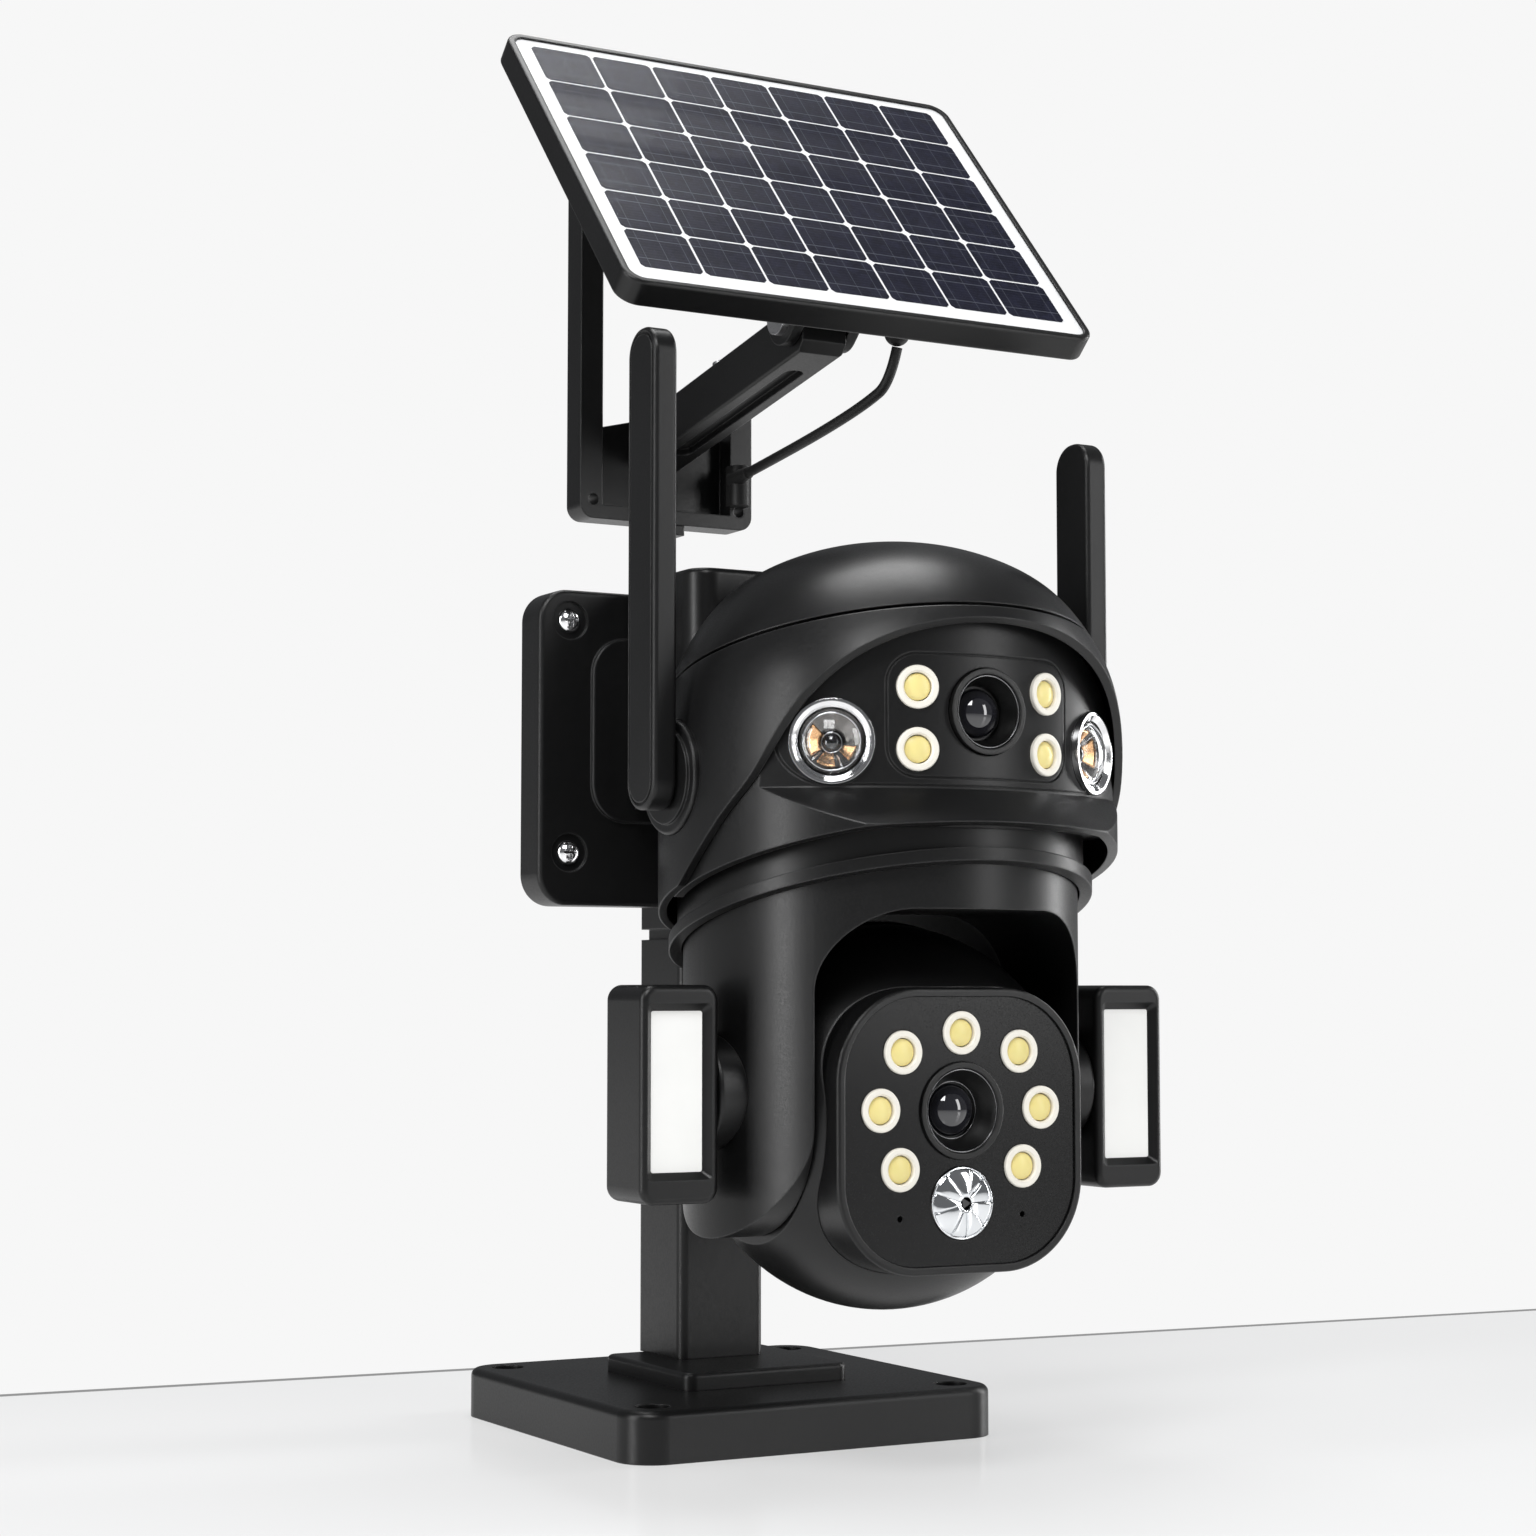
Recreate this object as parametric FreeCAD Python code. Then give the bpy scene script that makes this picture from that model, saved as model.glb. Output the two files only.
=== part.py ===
import FreeCAD, Part
import math
import os

# Pan-and-tilt security camera on a table post, with a solar panel above it.
# Millimetres. X is the camera's right-hand side seen from behind it, -Y is where it looks, Z is up.
# The origin is the centre of the base plate's underside.

V = FreeCAD.Vector
X_AXIS = V(1, 0, 0)
Y_AXIS = V(0, 1, 0)
Z_AXIS = V(0, 0, 1)
FRONT = V(0, -1, 0)

# ---------------------------------------------------------------- general fits
RUN_GAP = 0.4            # between faces of pieces that move past each other
PIN_FIT = 0.05           # radial clearance of a pivot pin in its bore
SEAT_GAP = 0.3           # between a piece and the pocket that holds it
SKIN_FIT = 0.1           # between a curved skin and what is shaped to sit against it

# ---------------------------------------------------------------- base and post
BASE_W = 132.4
BASE_T = 16.0
BASE_CORNER = 12.0
BASE_EDGE = 2.5
BASE_HOLE_R = 5.5
BASE_HOLE_PITCH = 108.0

FLANGE_W = 60.0
FLANGE_T = 5.7
FLANGE_Y = -0.7
FLANGE_CORNER = 4.0
FLANGE_EDGE = 1.5
FLANGE_SCREW_PITCH = 44.0
SCREW5_R = 2.5
SCREW5_HEAD_R = 4.6
SCREW5_HEAD_T = 5.0

POST_W = 31.6
POST_WALL = 2.2
POST_CORNER = 3.0
POST_Y = 17.0
POST_TOP = 160.0
NECK_IN = 2.3            # how far the neck stands in from the post's faces
NECK_H = 3.5
NECK_PLUG = 22.0         # length of the neck's plug inside the post
CARRIER_TOP = 266.0

# ---------------------------------------------------------------- wall plate and arm housing
WPLATE_W = 148.6
WPLATE_Z0 = 170.0
WPLATE_Z1 = 272.0
WPLATE_T = 14.0
WPLATE_CORNER = 10.0
WPLATE_EDGE = 1.6
WPLATE_SCREW_X = 63.5
WPLATE_SCREW_Z = (187.0, 262.0)
SCREW_HEAD_R = 4.1
SCREW_HEAD_H = 2.6
SCREW_SHANK_R = 2.0
SCREW_RECESS_R = 6.2
SCREW_RECESS_T = 1.0
PAD_W = 112.0
PAD_Z0 = 197.0
PAD_Z1 = 257.0
PAD_T = 1.6
PAD_CORNER = 12.0
STEEL_T = 3.0            # steel plate let into the back of the wall plate
STEEL_IN = 8.0

HOUSING_W = 88.0
HOUSING_Z0 = 201.0
HOUSING_Z1 = 275.0
HOUSING_Y_FRONT = -62.0
HOUSING_CORNER = 8.0
HOUSING_EDGE = 2.0
HOUSING_WALL = 3.0

# ---------------------------------------------------------------- head
HEAD_Y = -100.0          # the pan axis stands at x = 0, y = HEAD_Y
SHELL_Y = -107.0         # the head's skins are centred a little in front of the pan axis
HEAD_WALL = 2.5
# radius and height of the head's outline, from the crown down to the skirt
HEAD_OUTLINE = [(0, 278.4), (16.0, 277.3), (32.0, 272.9), (48.8, 263.4), (60.4, 249.6), (66.2, 238.0),
                (69.8, 220), (70.8, 200), (70.8, 172), (70.6, 152), (70.4, 142)]
SEAM_Z = 238.6           # dome seam, on the pan axis
SEAM_SLOPE = -0.233      # rise per millimetre towards +Y
SEAM_GROOVE = 1.2
SKIRT_Z = 172.8
SKIRT_SLOPE = -0.26
SKIRT_TUCK = 1.2         # the head floor stays this far above the skirt's edge
# height of the hood's edge along Y, from in front of the head back to where it meets the skirt
HOOD_EDGE = [(-188, 251.5), (-166, 248.6), (-158, 240), (-150.5, 229.5), (-141.5, 214), (-134.7, 203),
             (-126.3, 194.6), (-117.2, 185.8), (-107.6, 177.3), (-97, 170)]
HOOD_TUCK = 6.0          # how far the eye housing runs on behind the hood's edge

EYE_R = 90.0             # radius of the eye housing's front
EYE_Y = -70.0            # centre of that radius
EYE_WALL = 3.0
CHIN_Z = 200.5           # below this the eye housing's front flares out into a chin
CHIN_FLARE = 10.0
CHIN_H = 11.0
PLATE_W = 62.0           # outline engraved round the lens and its four lights
PLATE_Z = (203.2, 239.5)
PLATE_CORNER = 9.0
BROW_W = 117.0           # outline engraved round the whole front, sensors included
BROW_Z = (200.9, 262.0)
BROW_CORNER = 13.0
LINE_W = 0.6
LINE_DEPTH = 0.5
EYE_LENS_Z = 223.0
EYE_LENS_R = 12.5
EYE_LED_X = 22.0
EYE_LED_Z = (229.4, 211.5)
SENSOR_X = 45.0
SENSOR_Z = 213.5
SENSOR_R = 12.3
SENSOR_WINDOW_R = 9.8
SENSOR_DEPTH = 7.0

COLLAR_FIT = 0.6
COLLAR_NECK_R = 61.8
COLLAR_LIP_R = 64.4
COLLAR_LIP_H = 3.8
COLLAR_Z = 162.6
COLLAR_SLOPE = -0.27

FLOOR_Z = 189.3          # head floor, underside
FLOOR_T = 3.0

# ---------------------------------------------------------------- drum and its arms
DRUM_R = 60.0
DRUM_WALL = 2.5
DRUM_TOP = 188.7
DRUM_CEILING = 166.0
DRUM_CEILING_T = 2.6
ARM_GAP_W = 91.2         # between the inner faces of the drum's two arms
ARM_TIP_H = 34.5         # from the tilt axis down to the rounded tip of an arm
ARM_TIP_HALF = 39.0      # half an arm's depth at the tilt axis
ARCH_CORNER = 24.0
BACK_ARCH_Z = 138.0      # the drum comes lower behind the ball than in front of it
BALL_FIT = 0.8
NECK_R = 40.0
NECK_BORE = 34.0
NECK_SPIGOT_R = 37.0
RETAINER_R = 47.0
RETAINER_T = 2.6
PAN_MOTOR_R = 15.0
PAN_MOTOR_H = 18.0
PAN_SHAFT_R = 2.5
BRIDGE_R = 54.0
BRIDGE_T = 2.5

# ---------------------------------------------------------------- ball
TILT_Z = 105.0           # the tilt axis runs along X through y = HEAD_Y
BALL_R = 58.0
BALL_WALL = 2.5
BALL_HALF = 44.8
TILT_PIN_R = 5.0
TILT_PIN_L = 7.0         # how far a tilt pin reaches into the ball
TILT_BOSS_R = 9.0
FACE_Y = -146.0
FACE_W = 84.0
FACE_H = 82.5
FACE_Z = 102.3
FACE_CORNER = 27.0
FACE_DEPTH = 20.0
FACE_RIM = 2.4
FACE_RECESS = 0.8
FACE_PLATE_T = 3.0
LENS_Z = 108.0
LENS_R = 14.0
LENS_BULB_R = 7.6
LENS_MOUTH = 6.5         # depth of a lens barrel's tapering mouth
LENS_DOME = 4.6
LENS_EDGE = 1.6          # thickness of a lens at its rim
LED_R = 6.3
LED_CHIP_R = 3.9
LED_RING_Y = 1.0         # an LED ring stands this far out of its plate
LED_SPOTS = [(0, 130.5), (20, 125), (-20, 125), (27.5, 108.5), (-27.5, 108.5), (21, 91.5), (-21, 91.5)]
PIR_Z = 81.4
PIR_R = 10.6
SOUND_HOLE_R = 0.9
SOUND_HOLES = [(21, 77.5), (-21, 77.5)]

# ---------------------------------------------------------------- side lights
LIGHT_X0 = 66.0
LIGHT_X1 = 91.0
LIGHT_Y0 = -120.0
LIGHT_Y1 = -96.0
LIGHT_Z0 = 82.0
LIGHT_Z1 = 144.4
LIGHT_CORNER = 4.5
LIGHT_WALL = 2.2
WINDOW_X0 = 70.5
WINDOW_X1 = 87.0
WINDOW_Z0 = 91.0
WINDOW_Z1 = 137.0
WINDOW_BEVEL = 2.2
WINDOW_DEPTH = 2.4
DIFFUSER_T = 2.0
LIGHT_HUB_R = 17.0
LIGHT_PIVOT_Y = -103.0
LIGHT_PIN_R = 4.0
LIGHT_PIN_L = 9.0

# ---------------------------------------------------------------- antennas
ANT_X0 = 73.3
ANT_X1 = 81.0
ANT_W = 18.0
ANT_Y = -98.0
ANT_Z = 205.5
ANT_TOP_LEFT = 339.0
ANT_TOP_RIGHT = 318.0
ANT_HUB_R = 14.0
ANT_BOSS_R = 17.0
ANT_BOSS_X0 = 63.0
ANT_BOSS_X1 = 71.9
ANT_LINE_IN = 1.3        # engraved line along the blade's edge
ANT_LINE_W = 0.9
ANT_LINE_DEPTH = 0.7
ANT_PIN_R = 4.0
ANT_PIN_L = 6.0

# ---------------------------------------------------------------- mast and solar bracket
MAST_R = 5.5
MAST_Y = 49.0
MAST_FOOT_Z = 196.0
CLAMP_Z = (212.0, 252.0)
CLAMP_W = 26.0
CLAMP_H = 12.0
SCREW4_R = 2.0
SCREW4_L = 12.0
SCREW4_HEAD_R = 3.4
SCREW4_HEAD_H = 4.0

TRAY_Y0 = 43.0
TRAY_DEPTH = 11.0
TRAY_POCKET = 8.0
TRAY_HALF = 33.7
TRAY_BAR = 8.5
TRAY_Z0 = 306.0
TRAY_LIP = 5.0
TRAY_SHOULDER_Z = 339.0
TRAY_TOP_Z = 343.0
TRAY_CORNER = 5.0
LEFT_BAR_TOP = 428.0
RIGHT_BAR_TOP = 358.0
TRAY_HOLE_R = 2.0
TRAY_HOLE_X = 28.6
TRAY_HOLE_Z = 312.6

ARM_HALF = 8.0
ARM_H = 17.0
ARM_SLOPE = -0.172
ARM_TOP_Z = 349.0        # top of the arm where it passes over the post's centre
ARM_NOSE = 7.0           # from the hinge axis to the arm's front end
ARM_GROOVE_W = 7.0
ARM_GROOVE_T = 2.5

# ---------------------------------------------------------------- solar panel
HINGE_Y = -60.0
HINGE_Z = 357.0
PANEL_TILT = 48.0
PANEL_Y = -49.3          # centre of the cells
PANEL_Z = 405.2
PANEL_W = 170.0
PANEL_L = 138.0
PANEL_MID = -1.7         # the frame's middle, along the panel from the cells' middle
PANEL_CORNER = 7.0
PANEL_LIP = 2.4
PANEL_UNDER = 8.4        # from the cells down to the frame's underside
PANEL_OVER = 0.6         # from the cells up to the frame's lip
CELLS_ACROSS = 7
CELLS_DEEP = 6
ARRAY_W = 154.8
ARRAY_L = 123.4
CELL_GAP = 1.0
CELL_T = 0.2
CELL_CLIP = 1.2          # a cell's clipped corner
BACKSHEET_T = 0.8
GLASS_T = 0.5
EAR_T = 3.6
EAR_R = 8.5
EAR_PAD = 40.0
EAR_PAD_T = 2.0
HINGE_PIN_R = 3.0
GLAND_X = 31.5
GLAND_R = 4.2

# ---------------------------------------------------------------- solar lead
LEAD_R = 1.8
LEAD_POINTS = [(31.5, -60.0, 352.4), (31.0, -56.0, 341.2), (30.0, -44.0, 337.0), (28.8, -24.0, 332.8),
               (27.4, 4.0, 328.4), (26.0, 31.0, 324.7)]
TRAY_GLAND_R = 3.6


# ================================================================ helpers
def rod(radius, start, axis, length):
    return Part.makeCylinder(radius, length, V(*start), axis)


def ring(outer, inner, start, axis, length):
    return rod(outer, start, axis, length).cut(rod(inner, start, axis, length))


def cone(r1, r2, start, axis, length):
    return Part.makeCone(r1, r2, length, V(*start), axis)


def cap(radius, height, start, axis):
    """A spherical cap of the given rim radius and height, flat side at start."""
    ball_r = (radius ** 2 + height ** 2) / (2 * height)
    centre = V(*start) + axis * (height - ball_r)
    ball = Part.makeSphere(ball_r, centre)
    return ball.common(rod(radius + 1, start, axis, height + 1))


def box(x0, x1, y0, y1, z0, z1):
    return Part.makeBox(x1 - x0, y1 - y0, z1 - z0, V(x0, y0, z0))


def rounded_face(width, height, radius):
    """A rounded rectangle on the XY plane, centred on the origin."""
    w = width / 2
    h = height / 2
    k = radius * (1 - math.sqrt(0.5))
    corners = [(w, h, 1, 1), (-w, h, -1, 1), (-w, -h, -1, -1), (w, -h, 1, -1)]
    edges = []
    ends = []
    for cx, cy, sx, sy in corners:
        on_side = V(cx, cy - sy * radius, 0)
        on_top = V(cx - sx * radius, cy, 0)
        first, last = (on_side, on_top) if sx * sy > 0 else (on_top, on_side)
        edges.append(Part.Arc(first, V(cx - sx * k, cy - sy * k, 0), last).toShape())
        ends.append((first, last))
    sides = []
    for i in range(4):
        sides.append(edges[i])
        start = ends[i][1]
        stop = ends[(i + 1) % 4][0]
        if start.distanceToPoint(stop) > 1e-6:
            sides.append(Part.makeLine(start, stop))
    return Part.Face(Part.Wire(sides))


TO_FRONT = FreeCAD.Rotation(X_AXIS, 90)                       # sketch plane XZ, extruded towards -Y
TO_SIDE = FreeCAD.Rotation(Y_AXIS, Z_AXIS, X_AXIS)            # sketch plane YZ, extruded towards +X


def slab(width, height, radius, centre, rotation, depth):
    """A rounded rectangle set on a plane at centre and extruded along the plane's normal."""
    face = rounded_face(width, height, radius)
    face.Placement = FreeCAD.Placement(V(*centre), rotation)
    return face.extrude(rotation.multVec(Z_AXIS) * depth)


def side_prism(points, x0, x1):
    """A polygon given as (y, z) points, extruded along X."""
    corners = [V(x0, y, z) for y, z in points]
    face = Part.Face(Part.makePolygon(corners + corners[:1]))
    return face.extrude(V(x1 - x0, 0, 0))


def front_prism(points, y0, y1):
    """A polygon given as (x, z) points, extruded along Y."""
    corners = [V(x, y0, z) for x, z in points]
    face = Part.Face(Part.makePolygon(corners + corners[:1]))
    return face.extrude(V(0, y1 - y0, 0))


def below(z_on_axis, slope):
    """Everything under a plane that passes the pan axis at z_on_axis and slopes along Y."""
    far = 400.0
    low = z_on_axis - slope * far
    high = z_on_axis + slope * far
    front = HEAD_Y - far
    back = HEAD_Y + far
    return side_prism([(front, -far), (back, -far), (back, high), (front, low)], -far, far)


def mirrored(shape):
    return shape.mirror(V(0, 0, 0), X_AXIS)


def both_sides(shape):
    return [shape, mirrored(shape)]


def edges_at(shape, test):
    return [edge for edge in shape.Edges if test(edge.BoundBox)]


def on_plane(bounds, point, normal):
    return abs(V(bounds.Center).sub(point).dot(normal)) < 0.01


def fuse(*shapes):
    result = shapes[0]
    for other in shapes[1:]:
        result = result.fuse(other)
    return result.removeSplitter()


def cut(shape, *tools):
    for tool in tools:
        shape = shape.cut(tool)
    return shape.removeSplitter()


def save(name, shape):
    solids = []
    for piece in shape if isinstance(shape, list) else [shape]:
        solids += piece.Solids
    if not solids:
        raise ValueError(name + " is empty")
    for solid in solids:
        if not solid.isValid() or solid.Volume <= 0:
            raise ValueError(name + " has an invalid solid")
    whole = solids[0] if len(solids) == 1 else Part.makeCompound(solids)
    whole.exportStep("parts/" + name + ".step")


# ================================================================ base and post
def plate_corners(pitch, y=0.0):
    half = pitch / 2
    return [(sx * half, y + sy * half) for sx in (-1, 1) for sy in (-1, 1)]


def base_plate():
    body = slab(BASE_W, BASE_W, BASE_CORNER, (0, 0, 0), FreeCAD.Rotation(), BASE_T)
    top = edges_at(body, lambda b: b.ZMin > BASE_T - 0.01)
    body = body.makeFillet(BASE_EDGE, top)
    for x, y in plate_corners(BASE_HOLE_PITCH):
        body = body.cut(rod(BASE_HOLE_R, (x, y, -1), Z_AXIS, BASE_T + 2))
    for x, y in plate_corners(FLANGE_SCREW_PITCH, FLANGE_Y):
        body = body.cut(rod(SCREW5_R + SEAT_GAP, (x, y, -1), Z_AXIS, BASE_T + 2))
        body = body.cut(rod(SCREW5_HEAD_R + SEAT_GAP, (x, y, -1), Z_AXIS, 1 + SCREW5_HEAD_T + 1))
    return body


def post_flange():
    body = slab(FLANGE_W, FLANGE_W, FLANGE_CORNER, (0, FLANGE_Y, BASE_T), FreeCAD.Rotation(), FLANGE_T)
    top = edges_at(body, lambda b: b.ZMin > BASE_T + FLANGE_T - 0.01)
    body = body.makeFillet(FLANGE_EDGE, top)
    for x, y in plate_corners(FLANGE_SCREW_PITCH, FLANGE_Y):
        body = body.cut(rod(SCREW5_R, (x, y, BASE_T - 1), Z_AXIS, FLANGE_T - 0.7))
    return body


def flange_screws():
    head_z = 1.0
    length = BASE_T + FLANGE_T - 2.0 - head_z - SCREW5_HEAD_T
    screws = []
    for x, y in plate_corners(FLANGE_SCREW_PITCH, FLANGE_Y):
        head = rod(SCREW5_HEAD_R, (x, y, head_z), Z_AXIS, SCREW5_HEAD_T)
        socket = rod(2.3, (x, y, head_z), Z_AXIS, 2.5)
        shank = rod(SCREW5_R, (x, y, head_z + SCREW5_HEAD_T), Z_AXIS, length)
        screws.append(cut(fuse(head, shank), socket))
    return screws


def square_tube(width, wall, corner, z0, z1):
    outer = slab(width, width, corner, (0, POST_Y, z0), FreeCAD.Rotation(), z1 - z0)
    inner_w = width - 2 * wall
    inner_corner = max(corner - wall, 0.5)
    inner = slab(inner_w, inner_w, inner_corner, (0, POST_Y, z0 - 1), FreeCAD.Rotation(), z1 - z0 + 2)
    return outer.cut(inner)


def post_tube():
    return square_tube(POST_W, POST_WALL, POST_CORNER, BASE_T + FLANGE_T, POST_TOP)


def carrier():
    """The upper post behind the wall plate, with the neck and plug that seat in the lower tube."""
    z_neck = POST_TOP + NECK_H
    tube = square_tube(POST_W, POST_WALL, POST_CORNER, z_neck, CARRIER_TOP)
    floor = slab(POST_W, POST_W, POST_CORNER, (0, POST_Y, z_neck), FreeCAD.Rotation(), POST_WALL)
    neck_w = POST_W - 2 * NECK_IN
    neck = slab(neck_w, neck_w, 1.5, (0, POST_Y, POST_TOP), FreeCAD.Rotation(), NECK_H)
    plug_w = POST_W - 2 * POST_WALL - 2 * SEAT_GAP
    plug = slab(plug_w, plug_w, 0.6, (0, POST_Y, POST_TOP - NECK_PLUG), FreeCAD.Rotation(), NECK_PLUG)
    cap_w = POST_W - 2 * POST_WALL
    lid = slab(cap_w, cap_w, 0.8, (0, POST_Y, CARRIER_TOP - POST_WALL), FreeCAD.Rotation(), POST_WALL)
    body = fuse(tube, floor, neck, plug, lid)
    for z in CLAMP_Z:
        for x in clamp_screw_x():
            hole_y = POST_Y + POST_W / 2 - POST_WALL - 1
            body = body.cut(rod(SCREW4_R, (x, hole_y, z), Y_AXIS, POST_WALL + 2))
    return body


# ================================================================ wall plate, steel plate, arm housing
WPLATE_BACK = POST_Y - POST_W / 2                              # the plate bears on the post's front face
WPLATE_FRONT = WPLATE_BACK - WPLATE_T
WPLATE_MID = (WPLATE_Z0 + WPLATE_Z1) / 2


def plate_screw_spots():
    return [(sx * WPLATE_SCREW_X, z) for sx in (-1, 1) for z in WPLATE_SCREW_Z]


def steel_size():
    width = WPLATE_W - 2 * STEEL_IN
    height = WPLATE_Z1 - WPLATE_Z0 - 2 * STEEL_IN
    return width, height


def wall_plate():
    height = WPLATE_Z1 - WPLATE_Z0
    body = slab(WPLATE_W, height, WPLATE_CORNER, (0, WPLATE_BACK, WPLATE_MID), TO_FRONT, WPLATE_T)
    front = edges_at(body, lambda b: b.YMax < WPLATE_FRONT + 0.01)
    body = body.makeFillet(WPLATE_EDGE, front)
    pad_middle = (0, WPLATE_FRONT, (PAD_Z0 + PAD_Z1) / 2)
    pad = slab(PAD_W, PAD_Z1 - PAD_Z0, PAD_CORNER, pad_middle, TO_FRONT, PAD_T)
    pad = pad.makeFillet(0.8, edges_at(pad, lambda b: b.YMax < WPLATE_FRONT - PAD_T + 0.01))
    body = fuse(body, pad)
    width, tall = steel_size()
    pocket = slab(width + 2 * SEAT_GAP, tall + 2 * SEAT_GAP, WPLATE_CORNER / 2,
                  (0, WPLATE_BACK + 1, WPLATE_MID), TO_FRONT, 1 + STEEL_T)
    body = body.cut(pocket)
    for x, z in plate_screw_spots():
        body = body.cut(rod(SCREW_SHANK_R + SEAT_GAP, (x, WPLATE_BACK + 1, z), FRONT, WPLATE_T + 2))
        recess = rod(SCREW_RECESS_R, (x, WPLATE_FRONT + SCREW_RECESS_T, z), FRONT, SCREW_RECESS_T + 1)
        body = body.cut(recess)
    return body.removeSplitter()


def steel_plate():
    width, tall = steel_size()
    body = slab(width, tall, WPLATE_CORNER / 2, (0, WPLATE_BACK, WPLATE_MID), TO_FRONT, STEEL_T)
    for x, z in plate_screw_spots():
        body = body.cut(rod(SCREW_SHANK_R, (x, WPLATE_BACK + 1, z), FRONT, STEEL_T + 2))
    return body


def plate_screws():
    seat = WPLATE_FRONT + SCREW_RECESS_T
    screws = []
    for x, z in plate_screw_spots():
        head = cap(SCREW_HEAD_R, SCREW_HEAD_H, (x, seat, z), FRONT)
        shank = rod(SCREW_SHANK_R, (x, WPLATE_BACK - 0.5, z), FRONT, WPLATE_BACK - 0.5 - seat + 0.2)
        slots = []
        for turn in (0, 90):
            slot = box(-2.2, 2.2, -2.2, 0, -0.45, 0.45)
            slot.rotate(V(0, 0, 0), Y_AXIS, turn)
            slot.translate(V(x, seat - 1.1, z))
            slots.append(slot)
        screws.append(cut(fuse(head, shank), *slots))
    return screws


def head_outline(inset=0.0):
    """The head's half outline, moved inwards along its normal by inset, as a spline from crown to skirt."""
    spline = Part.BSplineCurve()
    spline.interpolate([V(r, 0, z) for r, z in HEAD_OUTLINE])
    if inset == 0.0:
        return spline
    moved = []
    for r, z in HEAD_OUTLINE:
        along = spline.tangent(spline.parameter(V(r, 0, z)))[0]
        normal = V(along.z, 0, -along.x)
        if normal.x + normal.z > 0:
            normal = normal * -1
        radius = 0.0 if r == 0 else r + normal.x * inset
        moved.append(V(radius, 0, z + normal.z * inset if r else z - inset))
    inner = Part.BSplineCurve()
    inner.interpolate(moved)
    return inner


def head_volume(inset=0.0):
    curve = head_outline(inset)
    top = curve.StartPoint
    low = curve.EndPoint
    floor_point = V(0, 0, low.z)
    wire = Part.Wire([curve.toShape(), Part.makeLine(low, floor_point), Part.makeLine(floor_point, top)])
    solid = Part.Face(wire).revolve(V(0, 0, 0), Z_AXIS, 360)
    solid.translate(V(0, SHELL_Y, 0))
    return solid


def arm_housing(head):
    depth = WPLATE_FRONT - PAD_T - HOUSING_Y_FRONT
    middle = (HOUSING_Z0 + HOUSING_Z1) / 2
    mid_y = (WPLATE_FRONT - PAD_T + HOUSING_Y_FRONT) / 2
    body = slab(HOUSING_W, depth, HOUSING_CORNER, (0, mid_y, HOUSING_Z0), FreeCAD.Rotation(), HOUSING_Z1 - HOUSING_Z0)
    body = body.makeFillet(HOUSING_EDGE, edges_at(body, lambda b: b.ZMin > middle + 1))
    core_w = HOUSING_W - 2 * HOUSING_WALL
    core_h = HOUSING_Z1 - HOUSING_Z0 - 2 * HOUSING_WALL
    core = slab(core_w, depth - 2 * HOUSING_WALL, HOUSING_CORNER - HOUSING_WALL,
                (0, mid_y, HOUSING_Z0 + HOUSING_WALL), FreeCAD.Rotation(), core_h)
    body = cut(body, core, head)
    return max(body.Solids, key=lambda solid: solid.Volume)


# ================================================================ head
def hood_opening(shift=0.0):
    """The space in front of the hood's edge, as a prism across the head."""
    edge = Part.BSplineCurve()
    edge.interpolate([V(-150, y + shift, z + shift * 0.6) for y, z in HOOD_EDGE])
    first = edge.StartPoint
    last = edge.EndPoint
    low = 100.0
    corners = [last, V(-150, last.y, low), V(-150, first.y, low), first]
    lines = [Part.makeLine(corners[i], corners[i + 1]) for i in range(3)]
    face = Part.Face(Part.Wire([edge.toShape()] + lines))
    return face.extrude(V(300, 0, 0))


def head_parts():
    outer = head_volume()
    inner = head_volume(HEAD_WALL)
    skin = outer.cut(inner)
    over_seam = below(SEAM_Z + SEAM_GROOVE / 2, SEAM_SLOPE)
    under_seam = below(SEAM_Z - SEAM_GROOVE / 2, SEAM_SLOPE)
    skirt = below(SKIRT_Z, SKIRT_SLOPE)
    dome = skin.cut(over_seam).removeSplitter()
    core = head_volume(HEAD_WALL + 1.6)
    root = head_volume(HEAD_WALL - 0.5).cut(core).common(below(SEAM_Z + 4, SEAM_SLOPE)).cut(over_seam)
    lip = head_volume(HEAD_WALL + SKIN_FIT).cut(core).common(below(SEAM_Z + 2, SEAM_SLOPE))
    lip = lip.cut(below(SEAM_Z - 4, SEAM_SLOPE)).cut(hood_opening(HOOD_TUCK + 1))
    dome = fuse(dome, root, lip)
    shell = skin.common(under_seam).cut(skirt).cut(hood_opening())
    shell = max(shell.Solids, key=lambda solid: solid.Volume)
    shell = shell.cut(rod(COLLAR_NECK_R + SKIN_FIT, (0, HEAD_Y, 100), Z_AXIS, FLOOR_Z - 100))
    for side in (-1, 1):
        shell = shell.cut(rod(ANT_BOSS_R + SKIN_FIT, (side * 50, ANT_Y, ANT_Z), X_AXIS * side, 40))
    return dome, shell


def eye_point(x, z):
    """The spot on the eye housing's front at that x and z, and the outward normal there."""
    side = x / EYE_R
    normal = V(side, -math.sqrt(1 - side ** 2), 0)
    return V(0, EYE_Y, z) + normal * EYE_R, normal


def eye_volume(inset):
    tucked = head_volume(HEAD_WALL + SEAT_GAP + inset)
    front = rod(EYE_R - inset, (0, EYE_Y, 100), Z_AXIS, 200)
    chin = cone(EYE_R - inset, EYE_R + CHIN_FLARE - inset, (0, EYE_Y, CHIN_Z), -Z_AXIS, CHIN_H)
    below_chin = rod(EYE_R + CHIN_FLARE - inset, (0, EYE_Y, 100), Z_AXIS, CHIN_Z - CHIN_H - 100)
    return tucked.common(fuse(front, chin, below_chin))


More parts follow.
